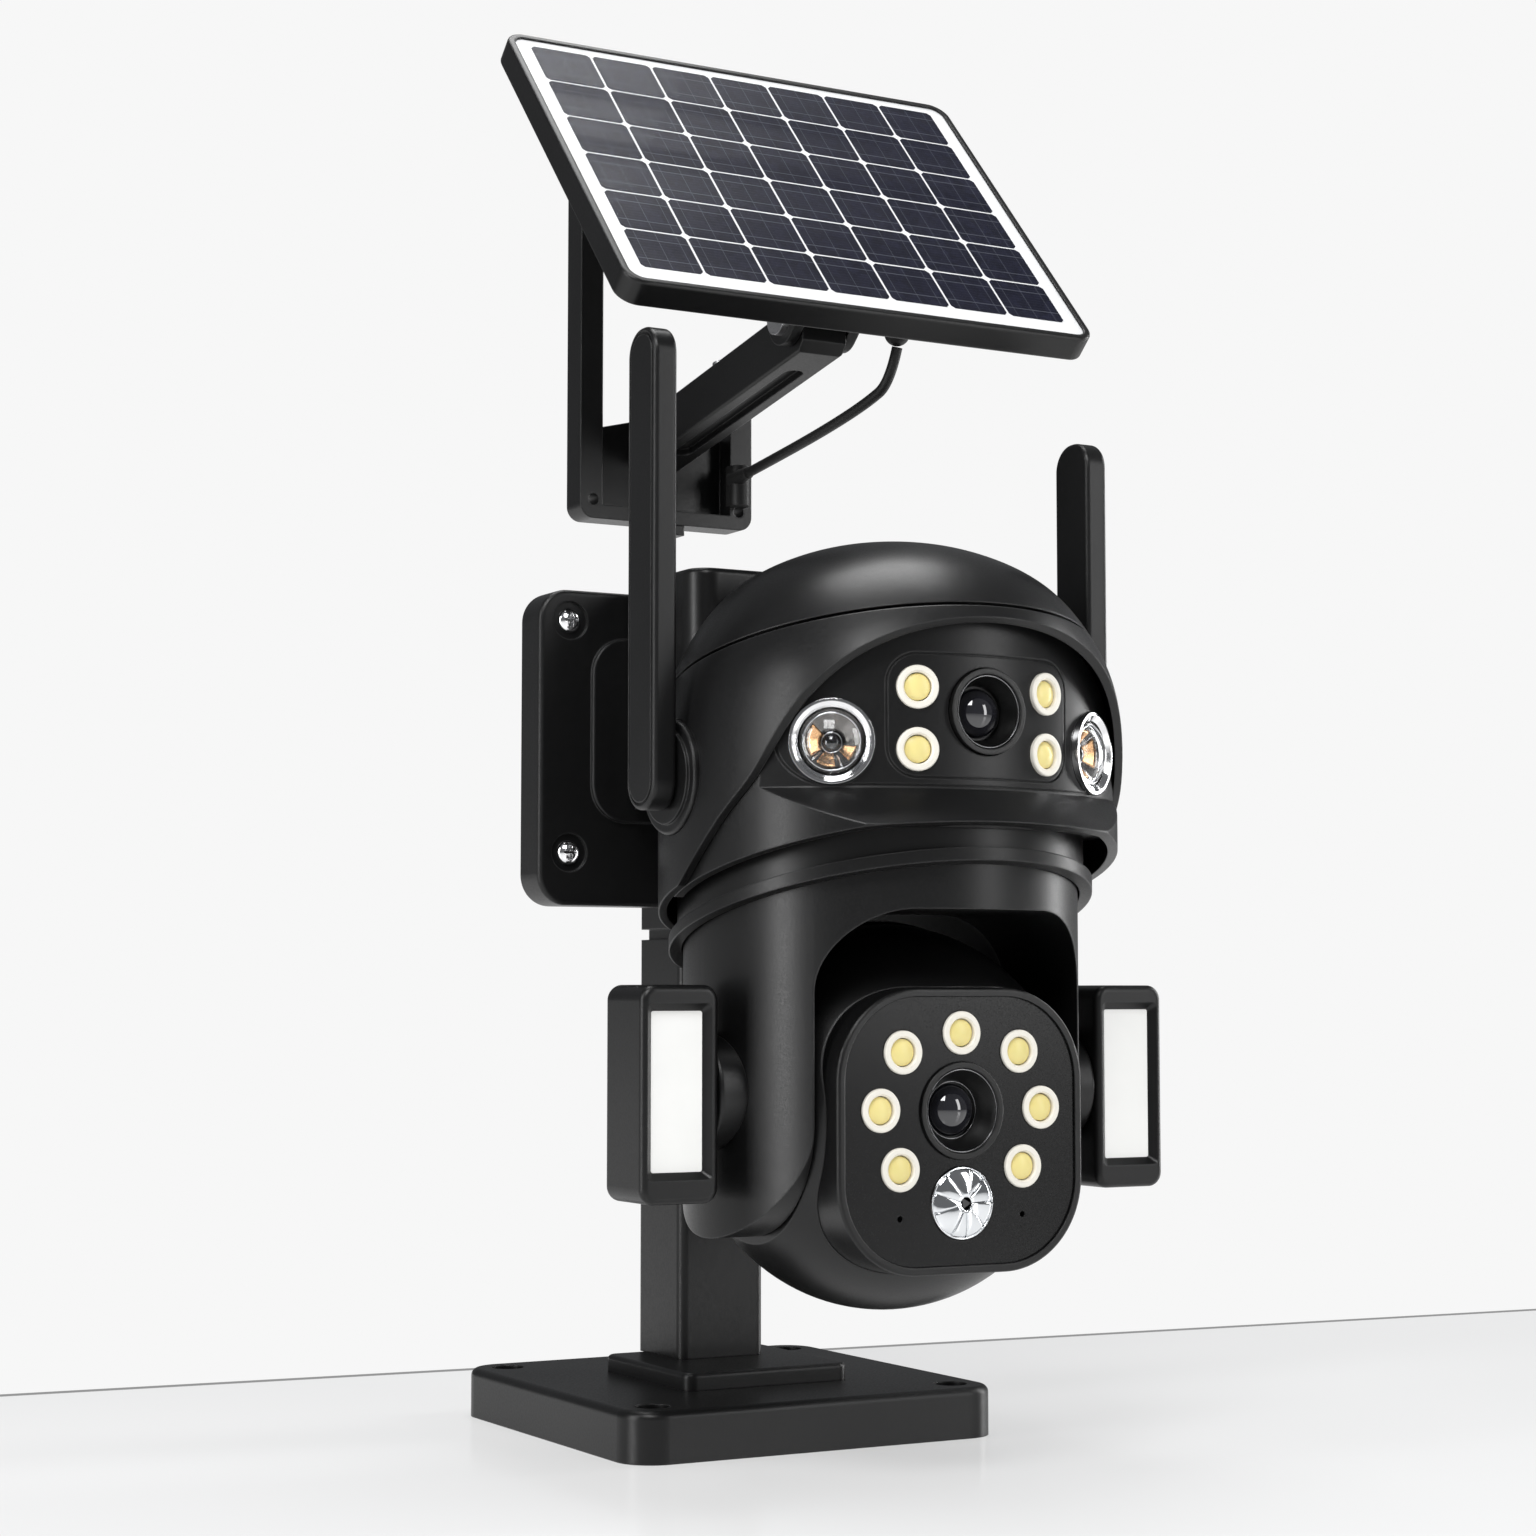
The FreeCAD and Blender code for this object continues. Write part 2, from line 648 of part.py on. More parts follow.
def engraved_line(width, z_span, corner):
    """A rounded outline engraved in the eye housing's front."""
    low, high = z_span
    middle = (0, EYE_Y, (low + high) / 2)
    outer = slab(width, high - low, corner, middle, TO_FRONT, EYE_R + 5)
    inner = slab(width - 2 * LINE_W, high - low - 2 * LINE_W, corner - LINE_W, middle, TO_FRONT, EYE_R + 5)
    band = ring(EYE_R + 1, EYE_R - LINE_DEPTH, (0, EYE_Y, low - 5), Z_AXIS, high - low + 10)
    return outer.cut(inner).common(band)


def eye_housing():
    skin = eye_volume(0.0).cut(eye_volume(EYE_WALL))
    skin = skin.common(hood_opening(HOOD_TUCK)).cut(below(SKIRT_Z, SKIRT_SLOPE))
    skin = skin.common(below(SEAM_Z - SEAM_GROOVE, SEAM_SLOPE))
    skin = max(skin.Solids, key=lambda solid: solid.Volume)
    spot, normal = eye_point(0, EYE_LENS_Z)
    skin = skin.cut(rod(EYE_LENS_R + SEAT_GAP, tuple(spot - normal * 15), normal, 20))
    for x in (-EYE_LED_X, EYE_LED_X):
        for z in EYE_LED_Z:
            spot, normal = eye_point(x, z)
            skin = skin.cut(rod(LED_R + SEAT_GAP / 2, tuple(spot - normal * 10), normal, 14))
    for x in (-SENSOR_X, SENSOR_X):
        spot, normal = eye_point(x, SENSOR_Z)
        skin = skin.cut(rod(SENSOR_R + SEAT_GAP / 2, tuple(spot - normal * 10), normal, 14))
    skin = skin.cut(engraved_line(PLATE_W, PLATE_Z, PLATE_CORNER))
    skin = skin.cut(engraved_line(BROW_W, BROW_Z, BROW_CORNER))
    return max(skin.removeSplitter().Solids, key=lambda solid: solid.Volume)


def lens_set(spot, normal, outer_r, bulb_r, proud, length):
    """A lens barrel with a stepped, tapering mouth, and the glass that sits in it."""
    rear = spot - normal * (length - proud)
    barrel = rod(outer_r, tuple(rear), normal, length)
    throat = bulb_r + 0.8
    mouth = cone(throat, outer_r - 1.5, tuple(spot + normal * (proud - LENS_MOUTH)), normal, LENS_MOUTH)
    seat = spot + normal * (proud - LENS_MOUTH - 2.0)
    step = rod(bulb_r, tuple(seat), normal, 3.0)
    barrel = cut(barrel, mouth, step, rod(throat, tuple(seat + normal), normal, 2.0))
    glass_r = bulb_r - PIN_FIT
    crown = cap(glass_r, LENS_DOME, tuple(seat + normal * LENS_EDGE), normal)
    glass = fuse(rod(glass_r, tuple(seat), normal, LENS_EDGE), crown)
    return barrel, glass


def led_set(spot, normal, depth):
    """A reflector ring and the domed emitter inside it."""
    rear = spot - normal * depth
    inner_r = LED_CHIP_R + SEAT_GAP
    reflector = ring(LED_R, inner_r, tuple(rear), normal, depth + LED_RING_Y)
    flare = cone(inner_r, inner_r + 0.5, tuple(spot + normal * (LED_RING_Y - 0.5)), normal, 0.5)
    face = spot + normal * LED_RING_Y
    rims = edges_at(reflector, lambda b: on_plane(b, face, normal) and b.DiagonalLength > LED_R * 2)
    reflector = cut(reflector.makeFillet(0.5, rims), flare)
    chip = fuse(rod(LED_CHIP_R, tuple(rear), normal, depth - 0.2),
                cap(LED_CHIP_R, 1.0, tuple(spot - normal * 0.2), normal))
    return reflector, chip


def sensor_set(x, shell):
    """A side sensor's bezel, clear dome and reflector cup. The hood passes through a relief in the rim."""
    spot, normal = eye_point(x, SENSOR_Z)
    rear = spot - normal * SENSOR_DEPTH
    bezel = ring(SENSOR_R, SENSOR_WINDOW_R, tuple(rear), normal, SENSOR_DEPTH + 1.4)
    mouth = cone(SENSOR_WINDOW_R, SENSOR_R - 0.9, tuple(spot + normal * 0.2), normal, 1.2)
    bezel = cut(bezel, mouth, shell)
    bezel = max(bezel.Solids, key=lambda solid: solid.Volume)
    outside = cap(SENSOR_WINDOW_R - 0.05, 4.2, tuple(spot - normal * 0.6), normal)
    inside = cap(SENSOR_WINDOW_R - 1.1, 3.4, tuple(spot - normal * 0.61), normal)
    dome = cut(outside, inside)
    cup = rod(SENSOR_WINDOW_R - 0.1, tuple(spot - normal * 6.8), normal, 5.6)
    cup = cut(cup, cone(2.6, SENSOR_WINDOW_R - 1.4, tuple(spot - normal * 5.2), normal, 4.2))
    cup = fuse(cup, cap(2.4, 2.0, tuple(spot - normal * 5.2), normal))
    return bezel, dome, cup


def head_floor(eye):
    room = head_volume(HEAD_WALL + SKIN_FIT)
    flat = box(-100, 100, HEAD_Y - 100, HEAD_Y + 100, FLOOR_Z, FLOOR_Z + FLOOR_T)
    toe = box(-100, 100, HEAD_Y - 100, HEAD_Y - COLLAR_NECK_R / 2, FLOOR_Z, FLOOR_Z + 2.5 * FLOOR_T)
    toe = toe.cut(rod(COLLAR_NECK_R, (0, HEAD_Y, FLOOR_Z - 1), Z_AXIS, 5 * FLOOR_T))
    under_chin = rod(EYE_R + CHIN_FLARE, (0, EYE_Y, 100), Z_AXIS, 200).cut(eye_volume(0.0))
    tucked = below(SKIRT_Z + SKIRT_TUCK, SKIRT_SLOPE).cut(rod(COLLAR_NECK_R, (0, HEAD_Y, 0), Z_AXIS, 400))
    plate = cut(room.common(fuse(flat, toe)), under_chin, tucked)
    plate = plate.cut(rod(NECK_R + RUN_GAP, (0, HEAD_Y, FLOOR_Z - 1), Z_AXIS, 5 * FLOOR_T))
    plate = plate.cut(eye)
    for side in (-1, 1):
        plate = plate.cut(rod(ANT_BOSS_R + SKIN_FIT, (side * 50, ANT_Y, ANT_Z), X_AXIS * side, 40))
    return max(plate.Solids, key=lambda solid: solid.Volume)


def head_collar(eye):
    inner_r = DRUM_R + COLLAR_FIT
    z0 = 120.0
    neck = ring(COLLAR_NECK_R, inner_r, (0, HEAD_Y, z0), Z_AXIS, FLOOR_Z - z0)
    lip = ring(COLLAR_LIP_R, inner_r, (0, HEAD_Y, z0), Z_AXIS, FLOOR_Z - z0)
    neck = neck.cut(below(COLLAR_Z, COLLAR_SLOPE))
    lip = lip.cut(below(COLLAR_Z, COLLAR_SLOPE)).common(below(COLLAR_Z + COLLAR_LIP_H, COLLAR_SLOPE))
    body = fuse(neck, lip)
    body = body.cut(eye)
    return max(body.Solids, key=lambda solid: solid.Volume)


def shaft_bridge():
    """A cup over the drum's neck, with the fixed stub shaft that the pan motor turns about."""
    z0 = FLOOR_Z + FLOOR_T
    z1 = DRUM_TOP + FLOOR_T + 1.0 + RETAINER_T + 5.0
    wall = ring(BRIDGE_R, BRIDGE_R - 3, (0, HEAD_Y, z0), Z_AXIS, z1 - z0)
    top = rod(BRIDGE_R, (0, HEAD_Y, z1), Z_AXIS, BRIDGE_T)
    shaft_low = DRUM_CEILING + DRUM_CEILING_T + 4.0
    shaft = rod(PAN_SHAFT_R, (0, HEAD_Y, shaft_low), Z_AXIS, z1 - shaft_low)
    hub = rod(6.0, (0, HEAD_Y, z1 - 4), Z_AXIS, 4)
    return fuse(wall, top, hub, shaft), z1 + BRIDGE_T


def main_board(z_low):
    y = HEAD_Y - 26.0
    board = box(-34, 34, y, y + 1.6, z_low, z_low + 44)
    processor = box(-24, -8, y - 2.2, y, z_low + 8, z_low + 22)
    radio = box(4, 20, y - 1.8, y, z_low + 24, z_low + 36)
    return fuse(board, processor, radio)


def battery_cells(z_low):
    """Two cells lying across the head, side by side."""
    radius = 9.2
    cells = []
    for i in range(2):
        y = HEAD_Y - 8.0 + i * (2 * radius + 0.4)
        body = rod(radius, (-32.5, y, z_low + radius), X_AXIS, 65.0)
        tip = rod(2.8, (32.5, y, z_low + radius), X_AXIS, 1.5)
        cells.append(fuse(body, tip))
    return cells


# ================================================================ drum, lights and antennas
def around_drum():
    return rod(DRUM_R + SKIN_FIT, (0, HEAD_Y, 0), Z_AXIS, 250)


def oval_rod(half_depth, half_height, x0, x1):
    """An oval bar along X round the tilt axis."""
    outline = Part.Ellipse(V(0, 0, 0), half_depth, half_height).toShape()
    turn = FreeCAD.Rotation(Y_AXIS, Z_AXIS, X_AXIS, "XYZ")
    outline.Placement = FreeCAD.Placement(V(x0, HEAD_Y, TILT_Z), turn)
    return Part.Face(Part.Wire([outline])).extrude(V(x1 - x0, 0, 0))


def drum_shell():
    z_tip = TILT_Z - ARM_TIP_H
    body = rod(DRUM_R, (0, HEAD_Y, z_tip), Z_AXIS, DRUM_TOP - z_tip)
    top = edges_at(body, lambda b: b.ZMin > DRUM_TOP - 0.01)
    body = body.makeFillet(1.0, top)
    tongue = fuse(oval_rod(ARM_TIP_HALF, ARM_TIP_H, -100, 100),
                  box(-100, 100, HEAD_Y - 100, HEAD_Y + 100, TILT_Z, 300))
    body = body.common(tongue)
    arch = slab(ARM_GAP_W, DRUM_CEILING, ARCH_CORNER, (0, HEAD_Y, DRUM_CEILING / 2), TO_FRONT, 100)
    back_arch = slab(ARM_GAP_W, BACK_ARCH_Z, ARCH_CORNER, (0, HEAD_Y + 100, BACK_ARCH_Z / 2), TO_FRONT, 101)
    nest = Part.makeSphere(BALL_R + BALL_FIT, V(0, HEAD_Y, TILT_Z), X_AXIS)
    nest = nest.common(box(-ARM_GAP_W / 2, ARM_GAP_W / 2, HEAD_Y - 100, HEAD_Y + 100, 0, 300))
    body = body.cut(arch).cut(back_arch).cut(nest)
    inner_r = DRUM_R - DRUM_WALL
    cavity_z = DRUM_CEILING + DRUM_CEILING_T
    body = body.cut(rod(inner_r, (0, HEAD_Y, cavity_z), Z_AXIS, DRUM_TOP - DRUM_WALL - cavity_z))
    body = body.cut(rod(NECK_BORE, (0, HEAD_Y, cavity_z), Z_AXIS, 60))
    hollow_z = z_tip + DRUM_WALL
    hollow = rod(inner_r, (0, HEAD_Y, hollow_z), Z_AXIS, cavity_z - z_tip)
    inner_half = ARM_TIP_HALF - DRUM_WALL
    inner_tongue = fuse(oval_rod(inner_half, ARM_TIP_H - DRUM_WALL, -100, 100),
                        box(-100, 100, HEAD_Y - inner_half, HEAD_Y + inner_half, TILT_Z, 300))
    hollow = hollow.common(inner_tongue)
    face = ARM_GAP_W / 2 + DRUM_WALL
    hollow = hollow.cut(box(-face, face, HEAD_Y - 100, HEAD_Y + 100, 0, 300))
    body = body.cut(hollow)
    for side in (-1, 1):
        start = (side * ARM_GAP_W / 2, HEAD_Y, TILT_Z)
        outward = X_AXIS * side
        boss = rod(TILT_BOSS_R, start, outward, 10.0)
        pin_hole = rod(TILT_PIN_R, (side * (ARM_GAP_W / 2 - 1), HEAD_Y, TILT_Z), outward, 9.0)
        body = body.fuse(boss).cut(pin_hole)
        light_z = (LIGHT_Z0 + LIGHT_Z1) / 2
        body = body.cut(rod(LIGHT_PIN_R, (side * (DRUM_R - 5), LIGHT_PIVOT_Y, light_z), outward, 20))
    neck = ring(NECK_R, NECK_BORE, (0, HEAD_Y, DRUM_TOP - 1), Z_AXIS, 1 + FLOOR_T + 2 * RUN_GAP + 0.2)
    spigot = ring(NECK_SPIGOT_R, NECK_BORE, (0, HEAD_Y, DRUM_TOP), Z_AXIS, FLOOR_T + 1.0 + RETAINER_T)
    return fuse(body, neck, spigot)


def retainer():
    z = DRUM_TOP + FLOOR_T + 2 * RUN_GAP + 0.2
    return ring(RETAINER_R, NECK_SPIGOT_R, (0, HEAD_Y, z), Z_AXIS, RETAINER_T)


def pan_motor():
    z = DRUM_CEILING + DRUM_CEILING_T
    can = rod(PAN_MOTOR_R, (0, HEAD_Y, z), Z_AXIS, PAN_MOTOR_H)
    nose = rod(5.0, (0, HEAD_Y, z + PAN_MOTOR_H), Z_AXIS, 1.5)
    bore = rod(PAN_SHAFT_R + PIN_FIT, (0, HEAD_Y, z + 3.0), Z_AXIS, PAN_MOTOR_H)
    lug = box(-21, 21, HEAD_Y - 4, HEAD_Y + 4, z, z + 1.5)
    return cut(fuse(can, nose, lug), bore)


def tilt_pins():
    pins = []
    for side in (-1, 1):
        start = (side * (BALL_HALF - TILT_PIN_L), HEAD_Y, TILT_Z)
        length = ARM_GAP_W / 2 - BALL_HALF + TILT_PIN_L + 7.0
        pins.append(rod(TILT_PIN_R, start, X_AXIS * side, length))
    return pins


def light_hub(side):
    y = LIGHT_PIVOT_Y
    z = (LIGHT_Z0 + LIGHT_Z1) / 2
    outward = X_AXIS * side
    disc = rod(LIGHT_HUB_R, (side * 40, y, z), outward, LIGHT_X0 - RUN_GAP - 40)
    disc = disc.makeFillet(1.2, edges_at(disc, lambda b: abs(b.XMin - b.XMax) < 0.01 and abs(b.XMin) > 50))
    disc = disc.cut(around_drum())
    pin = rod(LIGHT_PIN_R, (side * (DRUM_R - 4), y, z), outward, LIGHT_X0 - DRUM_R + 4 + LIGHT_PIN_L)
    return fuse(max(disc.Solids, key=lambda solid: solid.Volume), pin)


def light_set():
    """The right-hand light: its housing with a bevelled window, and the diffuser behind the window."""
    x_mid = (LIGHT_X0 + LIGHT_X1) / 2
    z_mid = (LIGHT_Z0 + LIGHT_Z1) / 2
    width = LIGHT_X1 - LIGHT_X0
    height = LIGHT_Z1 - LIGHT_Z0
    body = slab(width, height, LIGHT_CORNER, (x_mid, LIGHT_Y1, z_mid), TO_FRONT, LIGHT_Y1 - LIGHT_Y0)
    rims = edges_at(body, lambda b: b.YMax - b.YMin < 0.01)
    body = body.makeFillet(2.0, rims)
    window_w = WINDOW_X1 - WINDOW_X0
    window_h = WINDOW_Z1 - WINDOW_Z0
    window_x = (WINDOW_X0 + WINDOW_X1) / 2
    window_z = (WINDOW_Z0 + WINDOW_Z1) / 2
    y_glass = LIGHT_Y0 + WINDOW_DEPTH
    wide = rounded_face(window_w + 2 * WINDOW_BEVEL, window_h + 2 * WINDOW_BEVEL, 1.6)
    wide.Placement = FreeCAD.Placement(V(window_x, LIGHT_Y0, window_z), TO_FRONT)
    narrow = rounded_face(window_w, window_h, 0.8)
    narrow.Placement = FreeCAD.Placement(V(window_x, y_glass, window_z), TO_FRONT)
    bevel = Part.makeLoft([wide.OuterWire, narrow.OuterWire], True, True)
    body = body.cut(bevel)
    window_back = y_glass + DIFFUSER_T
    opening = slab(window_w, window_h, 0.8, (window_x, window_back, window_z), TO_FRONT, DIFFUSER_T + 0.5)
    room = box(LIGHT_X0 + LIGHT_WALL, LIGHT_X1 - LIGHT_WALL, window_back, LIGHT_Y1 - LIGHT_WALL,
               LIGHT_Z0 + LIGHT_WALL, LIGHT_Z1 - LIGHT_WALL)
    socket = rod(LIGHT_PIN_R + 2.6, (LIGHT_X0, LIGHT_PIVOT_Y, z_mid), X_AXIS, LIGHT_PIN_L + 2.5)
    bore = rod(LIGHT_PIN_R + PIN_FIT, (LIGHT_X0 - 1, LIGHT_PIVOT_Y, z_mid), X_AXIS, LIGHT_PIN_L + 1.3)
    body = cut(body.cut(opening).cut(room).fuse(socket), bore)
    diffuser_w = window_w - SKIN_FIT
    diffuser_h = window_h - SKIN_FIT
    diffuser = slab(diffuser_w, diffuser_h, 0.7, (window_x, window_back, window_z), TO_FRONT, DIFFUSER_T)
    return body, diffuser


def antenna(top):
    length = top - ANT_Z + ANT_W / 2 + 1.0
    low = ANT_Z - ANT_W / 2 - 1.0
    thick = ANT_X1 - ANT_X0
    body = slab(ANT_W, length, ANT_W / 2 - 0.6, (ANT_X0, ANT_Y, low + length / 2), TO_SIDE, thick)
    rims = edges_at(body, lambda b: b.XMax - b.XMin < 0.01)
    body = body.makeFillet(1.4, rims)
    middle = (ANT_X1 - ANT_LINE_DEPTH, ANT_Y, low + length / 2)
    outer_in = 2 * ANT_LINE_IN
    inner_in = outer_in + 2 * ANT_LINE_W
    outer = slab(ANT_W - outer_in, length - outer_in, ANT_W / 2 - 0.6 - ANT_LINE_IN, middle, TO_SIDE, 2)
    inner = slab(ANT_W - inner_in, length - inner_in, (ANT_W - inner_in) / 2 - 0.6, middle, TO_SIDE, 2)
    line = outer.cut(inner)
    bore = rod(ANT_PIN_R + PIN_FIT, (ANT_X0 - 1, ANT_Y, ANT_Z), X_AXIS, 1 + ANT_PIN_L + 0.4)
    return cut(body, line, bore)


def antenna_socket():
    """The bush set into the head's side, with the hub disc and the pin that the antenna turns on."""
    boss = rod(ANT_BOSS_R, (ANT_BOSS_X0, ANT_Y, ANT_Z), X_AXIS, ANT_BOSS_X1 - ANT_BOSS_X0)
    boss = boss.makeFillet(0.8, edges_at(boss, lambda b: b.XMin > ANT_BOSS_X1 - 0.01))
    disc = rod(ANT_HUB_R, (ANT_BOSS_X0, ANT_Y, ANT_Z), X_AXIS, ANT_X0 - RUN_GAP - ANT_BOSS_X0)
    pin = rod(ANT_PIN_R, (ANT_BOSS_X0, ANT_Y, ANT_Z), X_AXIS, ANT_X0 + ANT_PIN_L - ANT_BOSS_X0)
    return fuse(boss, disc, pin)


# ================================================================ ball and face
def face_prism(inset, y_front, depth):
    corner = FACE_CORNER - inset
    width = FACE_W - 2 * inset
    height = FACE_H - 2 * inset
    return slab(width, height, corner, (0, y_front + depth, FACE_Z), TO_FRONT, depth)


def ball_shell():
    centre = V(0, HEAD_Y, TILT_Z)
    outer = Part.makeSphere(BALL_R, centre, X_AXIS)
    outer = outer.common(box(-BALL_HALF, BALL_HALF, HEAD_Y - 80, HEAD_Y + 80, 0, 300))
    inside = BALL_HALF - BALL_WALL
    inner = Part.makeSphere(BALL_R - BALL_WALL, centre, X_AXIS)
    inner = inner.common(box(-inside, inside, HEAD_Y - 80, HEAD_Y + 80, 0, 300))
    body = outer.cut(inner)
    body = body.cut(face_prism(-SKIN_FIT, FACE_Y, FACE_DEPTH))
    body = max(body.Solids, key=lambda solid: solid.Volume)
    for side in (-1, 1):
        outward = X_AXIS * side
        boss_x = side * (BALL_HALF - TILT_PIN_L - 2)
        boss = rod(TILT_BOSS_R, (boss_x, HEAD_Y, TILT_Z), outward, TILT_PIN_L + 2)
        bore_x = side * (BALL_HALF - TILT_PIN_L - 0.4)
        bore = rod(TILT_PIN_R + PIN_FIT, (bore_x, HEAD_Y, TILT_Z), outward, 20)
        body = body.fuse(boss).cut(bore)
    return body.removeSplitter()


def face_bezel():
    body = face_prism(0.0, FACE_Y, FACE_DEPTH)
    rim = edges_at(body, lambda b: b.YMax < FACE_Y + 0.01)
    body = body.makeFillet(1.0, rim)
    body = body.cut(face_prism(FACE_RIM, FACE_Y - 1, FACE_DEPTH + 2))
    ledge = face_prism(FACE_RIM, FACE_Y + FACE_RECESS + FACE_PLATE_T, 2.0)
    ledge = ledge.cut(face_prism(FACE_RIM + 2.0, FACE_Y, FACE_DEPTH))
    return fuse(body, ledge)


def face_plate():
    body = face_prism(FACE_RIM + 0.05, FACE_Y + FACE_RECESS, FACE_PLATE_T)
    through = FACE_Y - 5
    holes = [rod(LENS_R + PIN_FIT, (0, through, LENS_Z), Y_AXIS, 20),
             rod(PIR_R + PIN_FIT, (0, through, PIR_Z), Y_AXIS, 20)]
    for x, z in LED_SPOTS:
        holes.append(rod(LED_R + 0.05, (x, through, z), Y_AXIS, 20))
    for x, z in SOUND_HOLES:
        holes.append(rod(SOUND_HOLE_R, (x, through, z), Y_AXIS, 20))
    return cut(body, *holes)


def pir_lens():
    seat = (0, FACE_Y + FACE_RECESS + FACE_PLATE_T, PIR_Z)
    body = rod(PIR_R, seat, FRONT, FACE_PLATE_T)
    facet = cap(PIR_R, 3.6, (0, FACE_Y + FACE_RECESS, PIR_Z), FRONT)
    return fuse(body, facet)


def camera_board():
    y = FACE_Y + 22.0
    board = box(-24, 24, y, y + 1.6, LENS_Z - 22, LENS_Z + 20)
    pad = rod(9.0, (0, y, LENS_Z), FRONT, 2.0)
    return fuse(board, pad)


def tilt_motor():
    start = BALL_HALF - TILT_PIN_L - 2
    can = rod(13.0, (start - 19, HEAD_Y, TILT_Z), X_AXIS, 19)
    ears = box(start - 2, start, HEAD_Y - 19, HEAD_Y + 19, TILT_Z - 4, TILT_Z + 4)
    return fuse(can, ears)


# ================================================================ mast, bracket, arm, panel
def clamp_screw_x():
    return (-9.0, 9.0)


def mast():
    body = rod(MAST_R, (0, MAST_Y, MAST_FOOT_Z), Z_AXIS, TRAY_Z0 - 3.5 - MAST_FOOT_Z)
    head = box(-7, 7, TRAY_Y0 + 0.5, TRAY_Y0 + TRAY_DEPTH, TRAY_Z0 - 3.5, TRAY_Z0)
    return fuse(body, head)


def mast_clamps():
    """Two blocks that hold the mast against the back of the upper post."""
    y0 = POST_Y + POST_W / 2
    y1 = MAST_Y + MAST_R + 4.0
    blocks = []
    for z in CLAMP_Z:
        low = (0, (y0 + y1) / 2, z - CLAMP_H / 2)
        block = slab(CLAMP_W, y1 - y0, 2.5, low, FreeCAD.Rotation(), CLAMP_H)
        block = block.cut(rod(MAST_R + 0.02, (0, MAST_Y, z - CLAMP_H), Z_AXIS, 2 * CLAMP_H))
        for x in clamp_screw_x():
            block = block.cut(rod(SCREW4_R + SEAT_GAP, (x, y0 - 1, z), Y_AXIS, 100))
            head_y = y0 + SCREW4_L - POST_WALL - 1
            block = block.cut(rod(SCREW4_HEAD_R + SEAT_GAP, (x, head_y, z), Y_AXIS, 100))
        blocks.append(block)
    return blocks


def cap_screw(seat, axis):
    """A socket-head screw whose head bears at seat; the shank runs the other way along axis."""
    head = rod(SCREW4_HEAD_R, seat, axis, SCREW4_HEAD_H)
    shank = rod(SCREW4_R, seat, axis * -1, SCREW4_L)
    socket = rod(1.7, tuple(V(*seat) + axis * (SCREW4_HEAD_H - 2.0)), axis, 3)
    return cut(fuse(head, shank), socket)


def arm_top(y):
    return ARM_TOP_Z + ARM_SLOPE * (y - POST_Y)


ARM_UP = V(0, -ARM_SLOPE, 1).normalize()


def small_screws():
    screws = []
    y_seat = POST_Y + POST_W / 2 + SCREW4_L - POST_WALL - 1
    for z in CLAMP_Z:
        for x in clamp_screw_x():
            screws.append(cap_screw((x, y_seat, z), Y_AXIS))
    y = POST_Y - 15.5
    screws.append(cap_screw((0, y, arm_top(y)), ARM_UP))
    return screws


def solar_bracket():
    y1 = TRAY_Y0 + TRAY_DEPTH
    outline = [(-TRAY_HALF, TRAY_Z0), (TRAY_HALF, TRAY_Z0), (TRAY_HALF, RIGHT_BAR_TOP),
               (TRAY_HALF - TRAY_BAR, RIGHT_BAR_TOP), (TRAY_HALF - TRAY_BAR, TRAY_SHOULDER_Z),
               (ARM_HALF + 1, TRAY_TOP_Z), (-ARM_HALF - 1, TRAY_TOP_Z),
               (TRAY_BAR - TRAY_HALF, TRAY_SHOULDER_Z), (TRAY_BAR - TRAY_HALF, LEFT_BAR_TOP),
               (-TRAY_HALF, LEFT_BAR_TOP)]
    body = front_prism(outline, TRAY_Y0, y1)
    inside = TRAY_HALF - TRAY_BAR
    pocket = box(-inside, inside, TRAY_Y0 - 1, TRAY_Y0 + TRAY_POCKET, TRAY_Z0 + TRAY_LIP, LEFT_BAR_TOP + 1)
    body = body.cut(pocket)
    uprights = edges_at(body, lambda b: abs(b.ZMin - TRAY_Z0) < 0.01 and abs(b.ZMax - TRAY_Z0) < 0.01
                        and b.YMax - b.YMin > TRAY_DEPTH - 0.1)
    body = body.makeFillet(TRAY_CORNER, uprights)
    tip_heights = (LEFT_BAR_TOP, RIGHT_BAR_TOP)
    tips = edges_at(body, lambda b: any(abs(b.ZMin - z) < 0.01 and abs(b.ZMax - z) < 0.01 for z in tip_heights)
                    and b.YMax - b.YMin > TRAY_DEPTH - 0.1)
    body = body.makeFillet(TRAY_BAR / 2 - 0.6, tips)
    for side in (-1, 1):
        hole = rod(TRAY_HOLE_R, (side * TRAY_HOLE_X, TRAY_Y0 - 1, TRAY_HOLE_Z), Y_AXIS, TRAY_DEPTH + 2)
        body = body.cut(hole)
    return body.removeSplitter()


